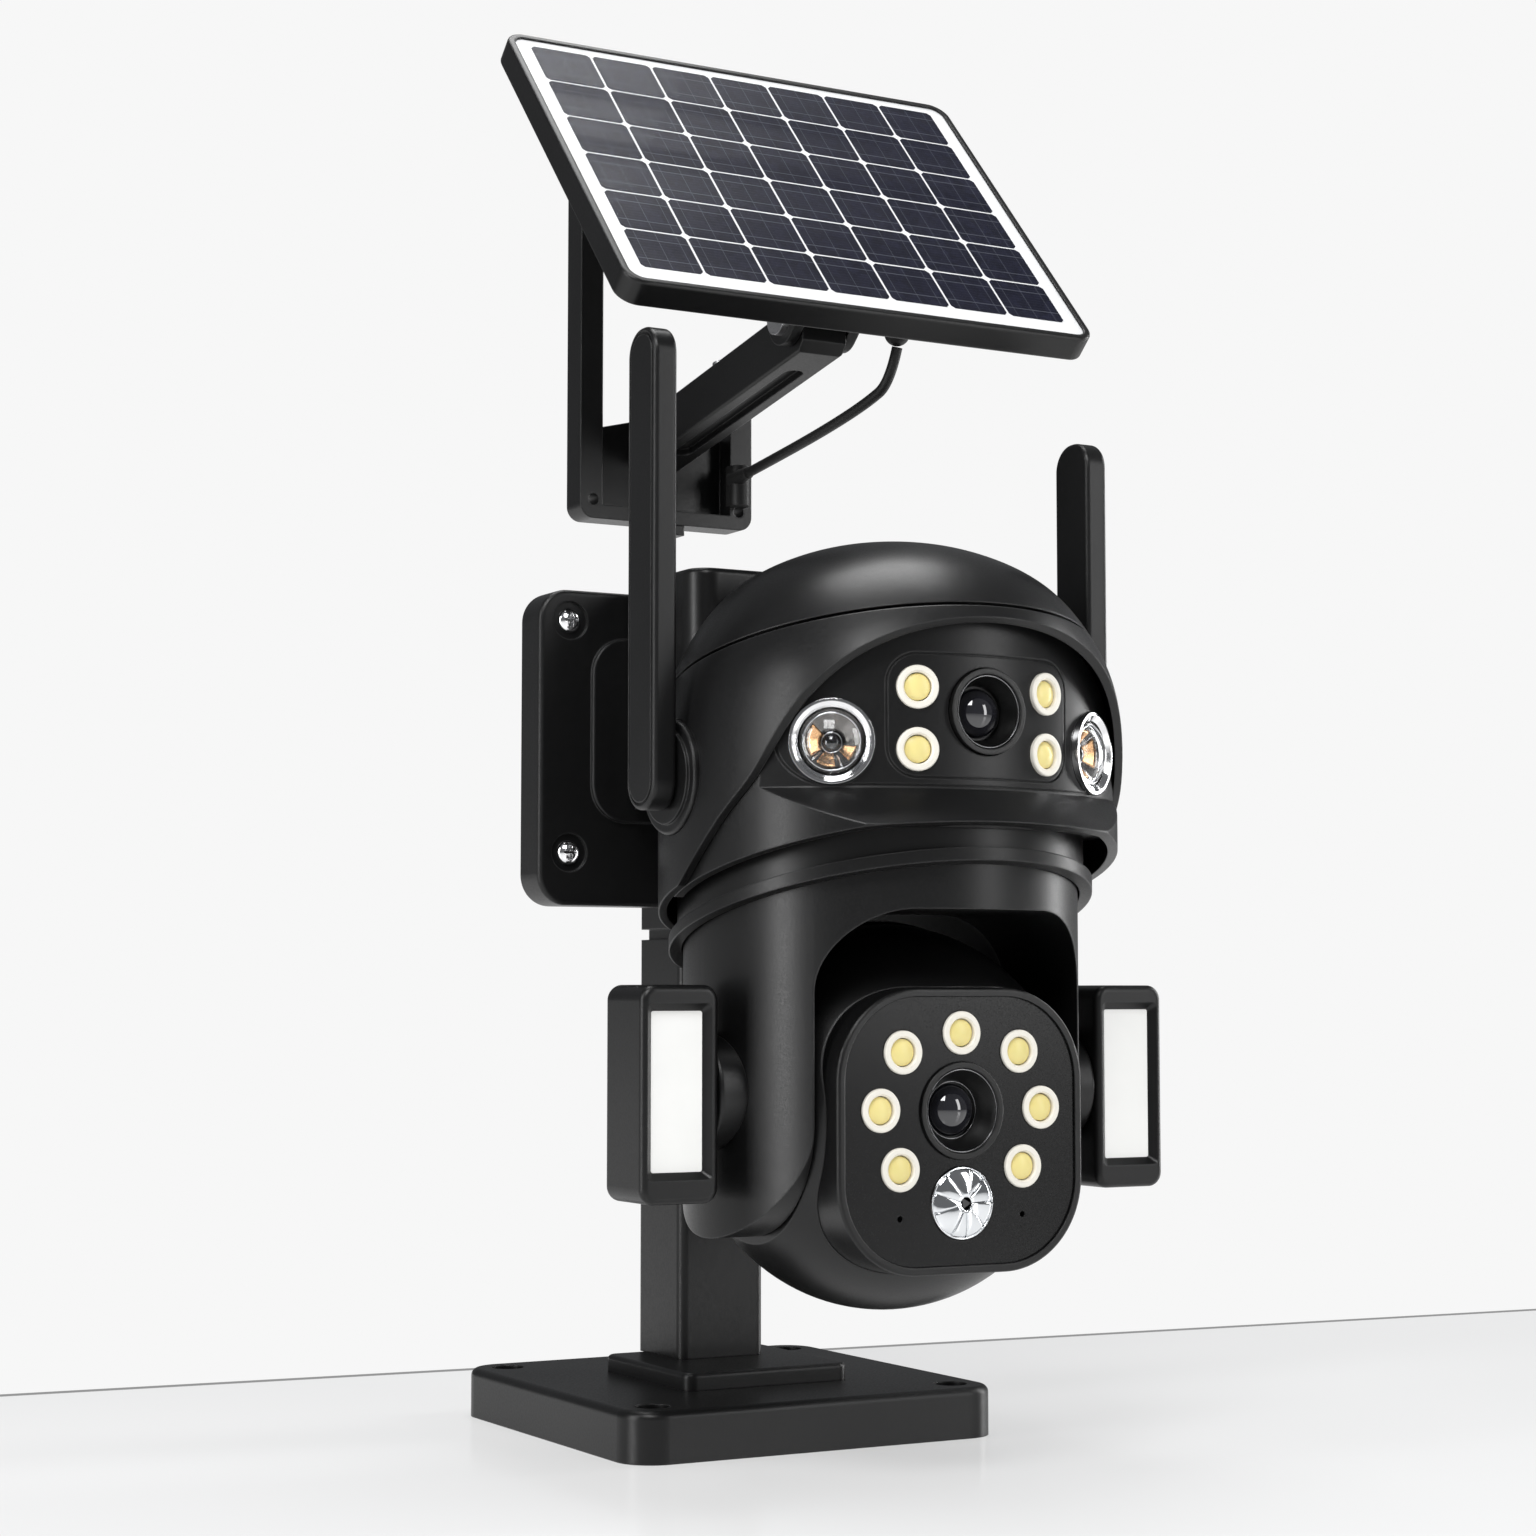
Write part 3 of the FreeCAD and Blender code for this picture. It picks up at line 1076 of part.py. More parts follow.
def solar_arm():
    y_back = TRAY_Y0 + TRAY_POCKET
    y_nose = HINGE_Y - ARM_NOSE
    outline = [(y_back, arm_top(y_back)), (y_nose + 5, arm_top(y_nose + 5)), (y_nose, arm_top(y_nose) - 6),
               (y_nose, arm_top(y_nose) - ARM_H + 3), (y_nose + 3, arm_top(y_nose + 3) - ARM_H),
               (y_back, arm_top(y_back) - ARM_H)]
    body = side_prism(outline, -ARM_HALF, ARM_HALF)
    along = edges_at(body, lambda b: b.XMax - b.XMin < 0.01 and b.YMax - b.YMin > 80)
    body = body.makeFillet(1.0, along)
    y0 = HINGE_Y + 10
    y1 = TRAY_Y0 - 8
    middle = (y0 + y1) / 2
    groove = rounded_face(ARM_GROOVE_W, y1 - y0, ARM_GROOVE_W / 2 - 0.05)
    groove.Placement = FreeCAD.Placement(V(0, middle, arm_top(middle) - ARM_H),
                                         FreeCAD.Rotation(X_AXIS, math.degrees(math.atan(ARM_SLOPE))))
    body = body.cut(groove.extrude(ARM_UP * ARM_GROOVE_T))
    body = body.cut(groove.extrude(ARM_UP * -2))
    body = body.cut(rod(HINGE_PIN_R + PIN_FIT, (-20, HINGE_Y, HINGE_Z), X_AXIS, 40))
    y = POST_Y - 15.5
    low = V(0, y, arm_top(y)) - ARM_UP * (SCREW4_L + 0.5)
    body = body.cut(rod(SCREW4_R, tuple(low), ARM_UP, SCREW4_L + 2))
    return body.removeSplitter()


PANEL_PLACE = FreeCAD.Placement(V(0, PANEL_Y, PANEL_Z), FreeCAD.Rotation(X_AXIS, PANEL_TILT))


def on_panel(shape):
    """Moves a shape drawn flat, with the cells' top on z = 0, into the panel's place."""
    placed = shape.copy()
    placed.Placement = PANEL_PLACE.multiply(placed.Placement)
    return placed


def hinge_on_panel():
    return PANEL_PLACE.inverse().multVec(V(0, HINGE_Y, HINGE_Z))


def panel_frame():
    body = slab(PANEL_W, PANEL_L, PANEL_CORNER, (0, PANEL_MID, -PANEL_UNDER), FreeCAD.Rotation(),
                PANEL_UNDER + PANEL_OVER)
    rims = edges_at(body, lambda b: b.ZMax - b.ZMin < 0.01)
    body = body.makeFillet(1.0, rims)
    pocket = slab(PANEL_W - 2 * PANEL_LIP, PANEL_L - 2 * PANEL_LIP, PANEL_CORNER - PANEL_LIP,
                  (0, PANEL_MID, -CELL_T - BACKSHEET_T), FreeCAD.Rotation(), 10)
    return on_panel(body.cut(pocket))


def panel_sheet(z, thickness):
    inset = 2 * PANEL_LIP + SKIN_FIT
    return on_panel(slab(PANEL_W - inset, PANEL_L - inset, PANEL_CORNER - PANEL_LIP, (0, PANEL_MID, z),
                         FreeCAD.Rotation(), thickness))


def solar_cells():
    pitch_x = ARRAY_W / CELLS_ACROSS
    pitch_y = ARRAY_L / CELLS_DEEP
    cells = []
    for i in range(CELLS_ACROSS):
        for j in range(CELLS_DEEP):
            x = (i + 0.5) * pitch_x - ARRAY_W / 2
            y = (j + 0.5) * pitch_y - ARRAY_L / 2
            w = (pitch_x - CELL_GAP) / 2
            d = (pitch_y - CELL_GAP) / 2
            clipped = [(w, CELL_CLIP - d), (w, d - CELL_CLIP), (w - CELL_CLIP, d), (CELL_CLIP - w, d),
                       (-w, d - CELL_CLIP), (-w, CELL_CLIP - d), (CELL_CLIP - w, -d), (w - CELL_CLIP, -d)]
            corners = [V(x + u, y + v, -CELL_T) for u, v in clipped]
            face = Part.Face(Part.makePolygon(corners + corners[:1]))
            cells.append(on_panel(face.extrude(Z_AXIS * CELL_T)))
    return cells


def panel_ears():
    hinge = hinge_on_panel()
    inner = ARM_HALF + RUN_GAP
    pad_top = -PANEL_UNDER
    pad = slab(EAR_PAD, EAR_PAD, 4.0, (0, hinge.y, pad_top - EAR_PAD_T), FreeCAD.Rotation(), EAR_PAD_T)
    body = pad
    for side in (-1, 1):
        start = side * inner
        disc = rod(EAR_R, (start, hinge.y, hinge.z), X_AXIS * side, EAR_T)
        web = box(min(start, start + side * EAR_T), max(start, start + side * EAR_T),
                  hinge.y - EAR_R, hinge.y + EAR_R, hinge.z, pad_top - EAR_PAD_T)
        body = body.fuse(disc).fuse(web)
    body = cut(body, rod(HINGE_PIN_R, (-30, hinge.y, hinge.z), X_AXIS, 60))
    return on_panel(body)


def panel_pin():
    half = ARM_HALF + RUN_GAP + EAR_T
    body = rod(HINGE_PIN_R, (-half, HINGE_Y, HINGE_Z), X_AXIS, 2 * half)
    for side in (-1, 1):
        body = body.fuse(rod(5.4, (side * half, HINGE_Y, HINGE_Z), X_AXIS * side, 2.2))
    return body.removeSplitter()


def panel_gland():
    """A boot on the panel's underside that ends in a ball on the hinge axis."""
    hinge = hinge_on_panel()
    length = -PANEL_UNDER - hinge.z
    ball = Part.makeSphere(GLAND_R, V(GLAND_X, hinge.y, hinge.z))
    stem = rod(GLAND_R - 0.4, (GLAND_X, hinge.y, hinge.z), Z_AXIS, length)
    foot = rod(GLAND_R + 2.2, (GLAND_X, hinge.y, -PANEL_UNDER - 3), Z_AXIS, 3)
    return on_panel(fuse(ball, stem, foot))


def lead_path(points):
    """Straight runs joined by tangent arcs, each as large as its two runs allow."""
    nodes = [V(*p) for p in points]
    edges = []
    start = nodes[0]
    for i in range(1, len(nodes) - 1):
        before = nodes[i] - nodes[i - 1]
        after = nodes[i + 1] - nodes[i]
        run = min(before.Length, after.Length)
        turn = before.getAngle(after)
        radius = 0.45 * run / math.tan(turn / 2)
        print("lead bend %d: turn %.1f deg, radius %.1f mm" % (i, math.degrees(turn), radius))
        back = before.normalize() * (0.45 * run)
        on = after.normalize() * (0.45 * run)
        first = nodes[i] - back
        last = nodes[i] + on
        inward = (last - nodes[i]) + (first - nodes[i])
        centre = nodes[i] + inward.normalize() * math.hypot(radius, 0.45 * run)
        middle = centre + (nodes[i] - centre).normalize() * radius
        edges.append(Part.LineSegment(start, first).toShape())
        edges.append(Part.Arc(first, middle, last).toShape())
        start = last
    edges.append(Part.LineSegment(start, nodes[-1]).toShape())
    return Part.Wire(edges)


def solar_lead():
    path = lead_path(LEAD_POINTS)
    heading = V(*LEAD_POINTS[1]) - V(*LEAD_POINTS[0])
    circle = Part.Wire(Part.makeCircle(LEAD_R, V(*LEAD_POINTS[0]), heading.normalize()))
    tube = path.makePipeShell([circle], True, False)
    print("lead length %.1f mm, volume %.1f of %.1f mm3"
          % (path.Length, tube.Volume, math.pi * LEAD_R ** 2 * path.Length))
    return tube.Solids[0] if tube.Solids else Part.Solid(tube)


def tray_gland():
    """The strain relief on the bracket's right bar: a tapered sleeve into an upright body."""
    end = V(*LEAD_POINTS[-1])
    heading = (end - V(*LEAD_POINTS[-2])).normalize()
    sleeve_l = TRAY_Y0 - 1.5 - end.y
    sleeve = Part.makeCone(LEAD_R + 0.3, TRAY_GLAND_R - 0.4, sleeve_l, end, heading)
    x = end.x + heading.x * sleeve_l
    z_mid = end.z + heading.z * sleeve_l
    low = (x + 1.5, TRAY_Y0 - TRAY_GLAND_R, TRAY_Z0 + 8)
    body = rod(TRAY_GLAND_R, low, Z_AXIS, z_mid + 5 - TRAY_Z0 - 8)
    back = box(x + 1.5 - TRAY_GLAND_R, x + 1.5 + TRAY_GLAND_R, TRAY_Y0 - TRAY_GLAND_R, TRAY_Y0,
               TRAY_Z0 + 8, z_mid + 5)
    body = cut(body.fuse(back), box(-40, 40, TRAY_Y0, TRAY_Y0 + 20, 0, 500))
    return fuse(body, sleeve)


# ================================================================ build
def build():
    os.makedirs("parts", exist_ok=True)
    save("base_plate", base_plate())
    save("post_flange", post_flange())
    save("flange_screws", flange_screws())
    save("post_tube", post_tube())
    save("carrier_post", carrier())
    save("wall_plate", wall_plate())
    save("steel_plate", steel_plate())
    save("plate_screws", plate_screws())

    dome, shell = head_parts()
    around_head = head_volume(-SKIN_FIT)
    eye = eye_housing()
    save("dome_cap", dome)
    save("head_shell", shell)
    save("eye_housing", eye)
    save("arm_housing", arm_housing(around_head))
    save("head_floor", head_floor(eye))
    save("head_collar", head_collar(eye))
    bridge, bridge_top = shaft_bridge()
    save("shaft_bridge", bridge)
    save("main_board", main_board(bridge_top))
    save("battery_cells", battery_cells(bridge_top))
    spot, normal = eye_point(0, EYE_LENS_Z)
    barrel, glass = lens_set(spot, normal, EYE_LENS_R, 7.2, 1.2, 16.0)
    save("eye_lens_barrel", barrel)
    save("eye_lens_glass", glass)
    rings = []
    chips = []
    for x in (-EYE_LED_X, EYE_LED_X):
        for z in EYE_LED_Z:
            reflector, chip = led_set(*eye_point(x, z), EYE_WALL + 0.6)
            rings.append(reflector)
            chips.append(chip)
    save("eye_led_rings", rings)
    save("eye_led_chips", chips)
    left = sensor_set(-SENSOR_X, shell)
    right = sensor_set(SENSOR_X, shell)
    for i, name in enumerate(("sensor_bezels", "sensor_domes", "sensor_cups")):
        save(name, [left[i], right[i]])
    socket = antenna_socket()
    save("antenna_sockets", both_sides(socket))
    save("antenna_left", mirrored(antenna(ANT_TOP_LEFT)))
    save("antenna_right", antenna(ANT_TOP_RIGHT))

    save("drum_shell", drum_shell())
    save("drum_retainer", retainer())
    save("pan_motor", pan_motor())
    save("tilt_pins", tilt_pins())
    save("light_hubs", [light_hub(-1), light_hub(1)])
    body, diffuser = light_set()
    save("light_housing_right", body)
    save("light_diffuser_right", diffuser)
    save("light_housing_left", mirrored(body))
    save("light_diffuser_left", mirrored(diffuser))

    save("ball_shell", ball_shell())
    save("face_bezel", face_bezel())
    save("face_plate", face_plate())
    spot = V(0, FACE_Y + FACE_RECESS, LENS_Z)
    barrel, glass = lens_set(spot, FRONT, LENS_R, LENS_BULB_R, 1.0, 20.2)
    save("main_lens_barrel", barrel)
    save("main_lens_glass", glass)
    rings = []
    chips = []
    for x, z in LED_SPOTS:
        reflector, chip = led_set(V(x, FACE_Y + FACE_RECESS, z), FRONT, FACE_PLATE_T + 0.6)
        rings.append(reflector)
        chips.append(chip)
    save("face_led_rings", rings)
    save("face_led_chips", chips)
    save("pir_lens", pir_lens())
    save("camera_board", camera_board())
    save("tilt_motor", tilt_motor())

    save("mast", mast())
    save("mast_clamps", mast_clamps())
    save("cap_screws", small_screws())
    save("solar_bracket", solar_bracket())
    save("solar_arm", solar_arm())
    save("panel_frame", panel_frame())
    save("panel_backsheet", panel_sheet(-CELL_T - BACKSHEET_T, BACKSHEET_T))
    save("solar_cells", solar_cells())
    save("panel_glass", panel_sheet(0.0, GLASS_T))
    save("panel_ears", panel_ears())
    save("panel_pin", panel_pin())
    save("panel_gland", panel_gland())
    save("solar_lead", solar_lead())
    save("tray_gland", tray_gland())


build()
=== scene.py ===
import math

import bmesh
import bpy
from mathutils import Matrix, Vector


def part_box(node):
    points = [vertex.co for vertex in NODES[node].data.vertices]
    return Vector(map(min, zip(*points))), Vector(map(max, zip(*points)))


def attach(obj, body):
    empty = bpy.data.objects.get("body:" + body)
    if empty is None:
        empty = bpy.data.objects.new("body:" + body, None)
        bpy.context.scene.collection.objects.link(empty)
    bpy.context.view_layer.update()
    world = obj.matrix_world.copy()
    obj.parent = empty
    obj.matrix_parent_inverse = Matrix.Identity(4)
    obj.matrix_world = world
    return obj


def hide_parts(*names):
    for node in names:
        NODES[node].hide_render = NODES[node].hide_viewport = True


MM = 0.001

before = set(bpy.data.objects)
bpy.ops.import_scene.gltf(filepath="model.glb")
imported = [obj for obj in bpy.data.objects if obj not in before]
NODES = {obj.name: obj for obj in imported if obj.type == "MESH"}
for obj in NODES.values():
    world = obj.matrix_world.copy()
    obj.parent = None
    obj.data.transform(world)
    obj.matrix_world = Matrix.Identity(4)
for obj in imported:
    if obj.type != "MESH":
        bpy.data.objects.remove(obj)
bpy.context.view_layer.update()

# ------------------------------------------------------------------ places
FACE_Y = -0.146
EYE_CENTRE = Vector((0, -0.070, 0))
EYE_R = 0.090
PANEL_TILT = math.radians(48)
PANEL_AT = Vector((0, -0.0493, 0.4052))


# ------------------------------------------------------------------ node helpers
class Tree:
    """A material's node tree with short calls."""

    def __init__(self, name):
        self.mat = bpy.data.materials.new(name)
        self.mat.use_nodes = True
        self.nodes = self.mat.node_tree.nodes
        self.links = self.mat.node_tree.links
        self.shader = self.nodes["Principled BSDF"]
        self.coords = self.nodes.new("ShaderNodeTexCoord").outputs["Object"]

    def add(self, kind, **values):
        node = self.nodes.new(kind)
        for key, value in values.items():
            setattr(node, key, value)
        return node

    def join(self, a, b):
        self.links.new(a, b)

    def scaled(self, scale):
        m = self.add("ShaderNodeMapping")
        m.inputs["Scale"].default_value = scale
        self.join(self.coords, m.inputs["Vector"])
        return m.outputs["Vector"]

    def noise(self, scale, detail=2.0, rough=0.5, vector=None):
        n = self.add("ShaderNodeTexNoise")
        n.inputs["Scale"].default_value = scale
        n.inputs["Detail"].default_value = detail
        n.inputs["Roughness"].default_value = rough
        self.join(vector if vector is not None else self.coords, n.inputs["Vector"])
        return n.outputs["Fac"]

    def ramp(self, fac, stops):
        r = self.add("ShaderNodeValToRGB")
        while len(r.color_ramp.elements) < len(stops):
            r.color_ramp.elements.new(0.5)
        for element, (pos, colour) in zip(r.color_ramp.elements, stops):
            element.position = pos
            element.color = (*colour, 1) if len(colour) == 3 else colour
        self.join(fac, r.inputs["Fac"])
        return r.outputs["Color"]

    def span(self, fac, lo, hi, from_lo=0.0, from_hi=1.0):
        m = self.add("ShaderNodeMapRange")
        m.inputs["From Min"].default_value = from_lo
        m.inputs["From Max"].default_value = from_hi
        m.inputs["To Min"].default_value = lo
        m.inputs["To Max"].default_value = hi
        self.join(fac, m.inputs["Value"])
        return m.outputs["Result"]

    def math(self, operation, a, b=None, c=None):
        m = self.add("ShaderNodeMath", operation=operation)
        for socket, value in zip(m.inputs, (a, b, c)):
            if value is None:
                continue
            if isinstance(value, (int, float)):
                socket.default_value = value
            else:
                self.join(value, socket)
        return m.outputs[0]

    def mix(self, fac, a, b):
        m = self.add("ShaderNodeMix", data_type="RGBA")
        for socket, value in ((m.inputs[0], fac), (m.inputs[6], a), (m.inputs[7], b)):
            if isinstance(value, (int, float)):
                socket.default_value = value
            elif isinstance(value, tuple):
                socket.default_value = (*value, 1)
            else:
                self.join(value, socket)
        return m.outputs[2]

    def bump(self, height, strength, distance, normal=None):
        b = self.add("ShaderNodeBump")
        b.inputs["Strength"].default_value = strength
        b.inputs["Distance"].default_value = distance
        self.join(height, b.inputs["Height"])
        if normal is not None:
            self.join(normal, b.inputs["Normal"])
        return b.outputs["Normal"]

    def edge(self, radius):
        """Rounded normal at the edges, and how far it leans from the true one."""
        b = self.add("ShaderNodeBevel", samples=4)
        b.inputs["Radius"].default_value = radius
        g = self.add("ShaderNodeNewGeometry")
        d = self.add("ShaderNodeVectorMath", operation="DOT_PRODUCT")
        self.join(b.outputs["Normal"], d.inputs[0])
        self.join(g.outputs["Normal"], d.inputs[1])
        lean = self.math("SUBTRACT", 1.0, d.outputs["Value"])
        return b.outputs["Normal"], lean

    def put(self, **values):
        for key, value in values.items():
            socket = self.shader.inputs[key.replace("_", " ")]
            if isinstance(value, (int, float, tuple)):
                if isinstance(value, tuple) and len(value) == 3:
                    value = (*value, 1)
                socket.default_value = value
            else:
                self.join(value, socket)
        return self.mat


# ------------------------------------------------------------------ materials
MOULDED_EDGE = 0.0007    # radius, in metres, over which a material rounds an edge
METAL_EDGE = 0.0003
LIGHT_EDGE = 0.0002
CELL_FIELD = (0.1548, 0.1234)
CELLS = (7, 6)


def moulded(name, tone, rough, grain, grain_depth, edge_highlight_tone=0.05, shine=0.34):
    """Black moulded or painted surface: fine grain, cloudy gloss, lighter edges painted in as highlights.
    """
    t = Tree(name)
    cloud = t.noise(38, 3, 0.55)
    fleck = t.noise(grain, 2, 0.6)
    wide = t.noise(9, 2, 0.5)
    base = t.ramp(cloud, [(0.3, tuple(c * 0.82 for c in tone)), (0.7, tuple(c * 1.22 for c in tone))])
    rounded, lean = t.edge(MOULDED_EDGE)
    # Painted highlight: edges are lightened by how far the rounded normal leans from the true one, broken
    # up by noise.
    edge_highlight_mask = t.span(lean, 0, 1, 0.01, 0.12)
    painted_edge_highlight = t.math("MULTIPLY", edge_highlight_mask, t.span(t.noise(60, 3, 0.6), 0.35, 1.0, 0.3, 0.7))
    colour = t.mix(painted_edge_highlight, base, (edge_highlight_tone, edge_highlight_tone, edge_highlight_tone * 1.01))
    fine = t.span(fleck, rough - 0.05, rough + 0.05, 0.3, 0.7)
    glossy = t.math("ADD", fine, t.span(wide, -0.035, 0.035, 0.3, 0.7))
    normal = t.bump(fleck, 0.35, grain_depth, rounded)
    return t.put(Base_Color=colour, Roughness=glossy, Normal=normal, Specular_IOR_Level=shine)


def bare_metal(name, tone, rough, stretch):
    """Metal with fine drawn lines along one direction."""
    t = Tree(name)
    lines = t.noise(300, 3, 0.65, t.scaled(stretch))
    blot = t.noise(45, 3, 0.5)
    base = t.ramp(blot, [(0.3, tuple(c * 0.86 for c in tone)), (0.72, tone)])
    rounded, _ = t.edge(METAL_EDGE)
    gloss = t.span(lines, rough * 0.75, rough * 1.35, 0.3, 0.7)
    return t.put(Base_Color=base, Metallic=1.0, Roughness=gloss,
                 Normal=t.bump(lines, 0.12, 0.00003, rounded))


def clear(name, tint, alpha, rough=0.03, transmission=0.0, ior=1.45, coat=0.0):
    t = Tree(name)
    smear = t.noise(70, 3, 0.6)
    base = t.ramp(smear, [(0.3, tuple(c * 0.96 for c in tint)), (0.7, tint)])
    mat = t.put(Base_Color=base, Alpha=alpha, Roughness=t.span(smear, rough * 0.7, rough * 1.6, 0.3, 0.7),
                IOR=ior, Transmission_Weight=transmission, Coat_Weight=coat, Coat_Roughness=0.02)
    return mat


def cell_material():
    """Solar cells: blue-black mottled silicon with fine fingers and busbars, in the panel's plane."""
    t = Tree("solar_cell")
    m = t.add("ShaderNodeMapping", vector_type="TEXTURE")
    m.inputs["Location"].default_value = PANEL_AT
    m.inputs["Rotation"].default_value = (PANEL_TILT, 0, 0)
    t.join(t.coords, m.inputs["Vector"])
    split = t.add("ShaderNodeSeparateXYZ")
    t.join(m.outputs["Vector"], split.inputs[0])
    x = split.outputs["X"]
    y = split.outputs["Y"]
    pitch_x, pitch_y = (size / count for size, count in zip(CELL_FIELD, CELLS))

    def stripes(coord, pitch, width, shift=0.0):
        f = t.math("FRACT", t.math("ADD", t.math("DIVIDE", coord, pitch), 40.0 + shift))
        d = t.math("ABSOLUTE", t.math("SUBTRACT", f, 0.5))
        return t.math("LESS_THAN", d, width / pitch / 2)

    bars = t.math("MAXIMUM", stripes(y, pitch_y / 2, 0.00034, 0.0), stripes(x, pitch_x / 3, 0.00016, 0.5))
    fingers = stripes(y, pitch_y / 14, 0.00016)
    grain = t.noise(900, 4, 0.7, m.outputs["Vector"])
    voronoi = t.add("ShaderNodeTexVoronoi")
    voronoi.inputs["Scale"].default_value = 420
    t.join(m.outputs["Vector"], voronoi.inputs["Vector"])
    tones = [(0.0, (0.0035, 0.004, 0.009)), (1.0, (0.013, 0.014, 0.030))]
    crystal = t.ramp(voronoi.outputs["Color"], tones)
    base = t.mix(t.span(grain, 0.0, 0.75, 0.35, 0.7), crystal, (0.006, 0.0065, 0.015))
    base = t.mix(t.math("MULTIPLY", fingers, 0.22), base, (0.06, 0.065, 0.09))
    base = t.mix(t.math("MULTIPLY", bars, 0.55), base, (0.13, 0.14, 0.17))
    return t.put(Base_Color=base, Roughness=t.span(grain, 0.30, 0.42, 0.3, 0.7), Specular_IOR_Level=0.10,
                 Normal=t.bump(grain, 0.15, 0.00003))


def speckled(name, tone, spread, rough, scale=500, depth=0.00003, painted_glow=0.0, **more):
    """Moulded light-coloured plastic, ceramic or silicone."""
    t = Tree(name)
    grain = t.noise(scale, 3, 0.6)
    cloud = t.noise(60, 2, 0.5)
    base = t.ramp(cloud, [(0.3, tuple(c * (1 - spread) for c in tone)), (0.7, tone)])
    rounded, _ = t.edge(LIGHT_EDGE)
    # Painted glow: the part gives off a faint light in its own colour, lifting its white with no lamp lit
    # behind it.
    if painted_glow:
        more["Emission_Color"] = base
        more["Emission_Strength"] = painted_glow
    return t.put(Base_Color=base, Roughness=t.span(grain, rough - 0.06, rough + 0.06, 0.3, 0.7),
                 Normal=t.bump(grain, 0.2, depth, rounded), **more)


BLACK = (0.0042, 0.0042, 0.0044)
MATS = {
    "plastic": moulded("satin_black_plastic", BLACK, 0.34, 1700, 0.00003),
    "gloss_plate": moulded("smooth_black_plate", (0.0030, 0.0030, 0.0032), 0.24, 2600, 0.000004,
                           edge_highlight_tone=0.02, shine=0.22),
    "paint": moulded("satin_black_paint", (0.0045, 0.0045, 0.0047), 0.36, 1300, 0.00004, edge_highlight_tone=0.05),
    "inner": moulded("dark_inner_plastic", (0.003, 0.003, 0.003), 0.34, 1500, 0.00002, edge_highlight_tone=0.02),
    "steel": bare_metal("drawn_steel", (0.55, 0.55, 0.56), 0.32, (1, 1, 12)),
    "chrome": bare_metal("bright_chrome", (0.86, 0.86, 0.87), 0.10, (3, 3, 3)),
    "dome": clear("clear_dome", (0.97, 0.98, 0.99), 1.0, 0.02, 1.0, 1.33),
    "lens": clear("coated_lens", (0.012, 0.012, 0.016), 1.0, 0.05, 0.0, 1.6, 1.0),
    "panel_glass": clear("panel_glass", (0.02, 0.02, 0.03), 0.03, 0.05, 0.0, 1.2),
    "ring": speckled("led_cream", (0.84, 0.81, 0.73), 0.05, 0.42),
    "phosphor": speckled("led_phosphor", (0.93, 0.76, 0.30), 0.10, 0.35, 900, 0.00006,
                         Subsurface_Weight=0.1),
    # The frosted diffusers get a faint painted glow.
    "diffuser": speckled("frosted_white", (0.90, 0.90, 0.88), 0.03, 0.5, 900, 0.00004, painted_glow=0.06),
    "sheet": speckled("white_backsheet", (0.86, 0.87, 0.88), 0.04, 0.45, 700, 0.00003),
    "copper": bare_metal("copper_reflector", (0.80, 0.47, 0.24), 0.24, (4, 4, 4)),
    "bowl": bare_metal("dark_reflector", (0.20, 0.19, 0.18), 0.16, (4, 4, 4)),
    "ring_dark": bare_metal("dark_bright_ring", (0.16, 0.16, 0.165), 0.18, (4, 4, 4)),
    "optic": bare_metal("faceted_optic", (0.84, 0.86, 0.88), 0.07, (6, 6, 6)),
    "pupil": clear("black_pupil", (0.004, 0.004, 0.005), 1.0, 0.05, 0.0, 1.6, 1.0),
    "cell": cell_material(),
    "board": speckled("green_board", (0.03, 0.16, 0.07), 0.2, 0.4),
    "wrap": speckled("blue_wrap", (0.06, 0.18, 0.5), 0.1, 0.35),
    "rubber": moulded("black_rubber", (0.010, 0.010, 0.010), 0.5, 2200, 0.00005, edge_highlight_tone=0.02),
}

FINISH = {
    "paint": "base_plate post_flange post_tube carrier_post wall_plate mast mast_clamps "
             "solar_bracket solar_arm panel_ears",
    "steel": "flange_screws steel_plate cap_screws shaft_bridge tilt_pins panel_pin pan_motor tilt_motor "
             "drum_retainer",
    "chrome": "plate_screws sensor_bezels",
    "dome": "sensor_domes pir_lens",
    "lens": "eye_lens_glass main_lens_glass",
    "panel_glass": "panel_glass",
    "ring": "eye_led_rings face_led_rings",
    "phosphor": "eye_led_chips face_led_chips",
    "diffuser": "light_diffuser_left light_diffuser_right",
    "gloss_plate": "face_plate",
    "inner": "eye_lens_barrel main_lens_barrel head_floor",
    "bowl": "sensor_cups",
    "cell": "solar_cells",
    "sheet": "panel_backsheet",
    "board": "main_board camera_board",
    "wrap": "battery_cells",
    "rubber": "solar_lead tray_gland panel_gland",
}
finish_of = {node: key for key, names in FINISH.items() for node in names.split()}
for name, obj in NODES.items():
    mat = MATS[finish_of.get(name, "plastic")]
    obj.data.materials.clear()
    obj.data.materials.append(mat)

# ------------------------------------------------------------------ camera
cam_data = bpy.data.cameras.new("camera")
cam_data.sensor_width = 36
cam_data.lens = 69.04
cam_data.clip_start = 0.01
cam_data.clip_end = 50
cam = bpy.data.objects.new("camera", cam_data)
bpy.context.scene.collection.objects.link(cam)
cam.location = (-0.46706, -0.86925, 0.14231)
YAW = math.radians(29.09)
PITCH = math.radians(4.35)
look = Vector((math.sin(YAW) * math.cos(PITCH), math.cos(YAW) * math.cos(PITCH), math.sin(PITCH)))
cam.rotation_euler = look.to_track_quat("-Z", "Y").to_euler()
bpy.context.scene.camera = cam

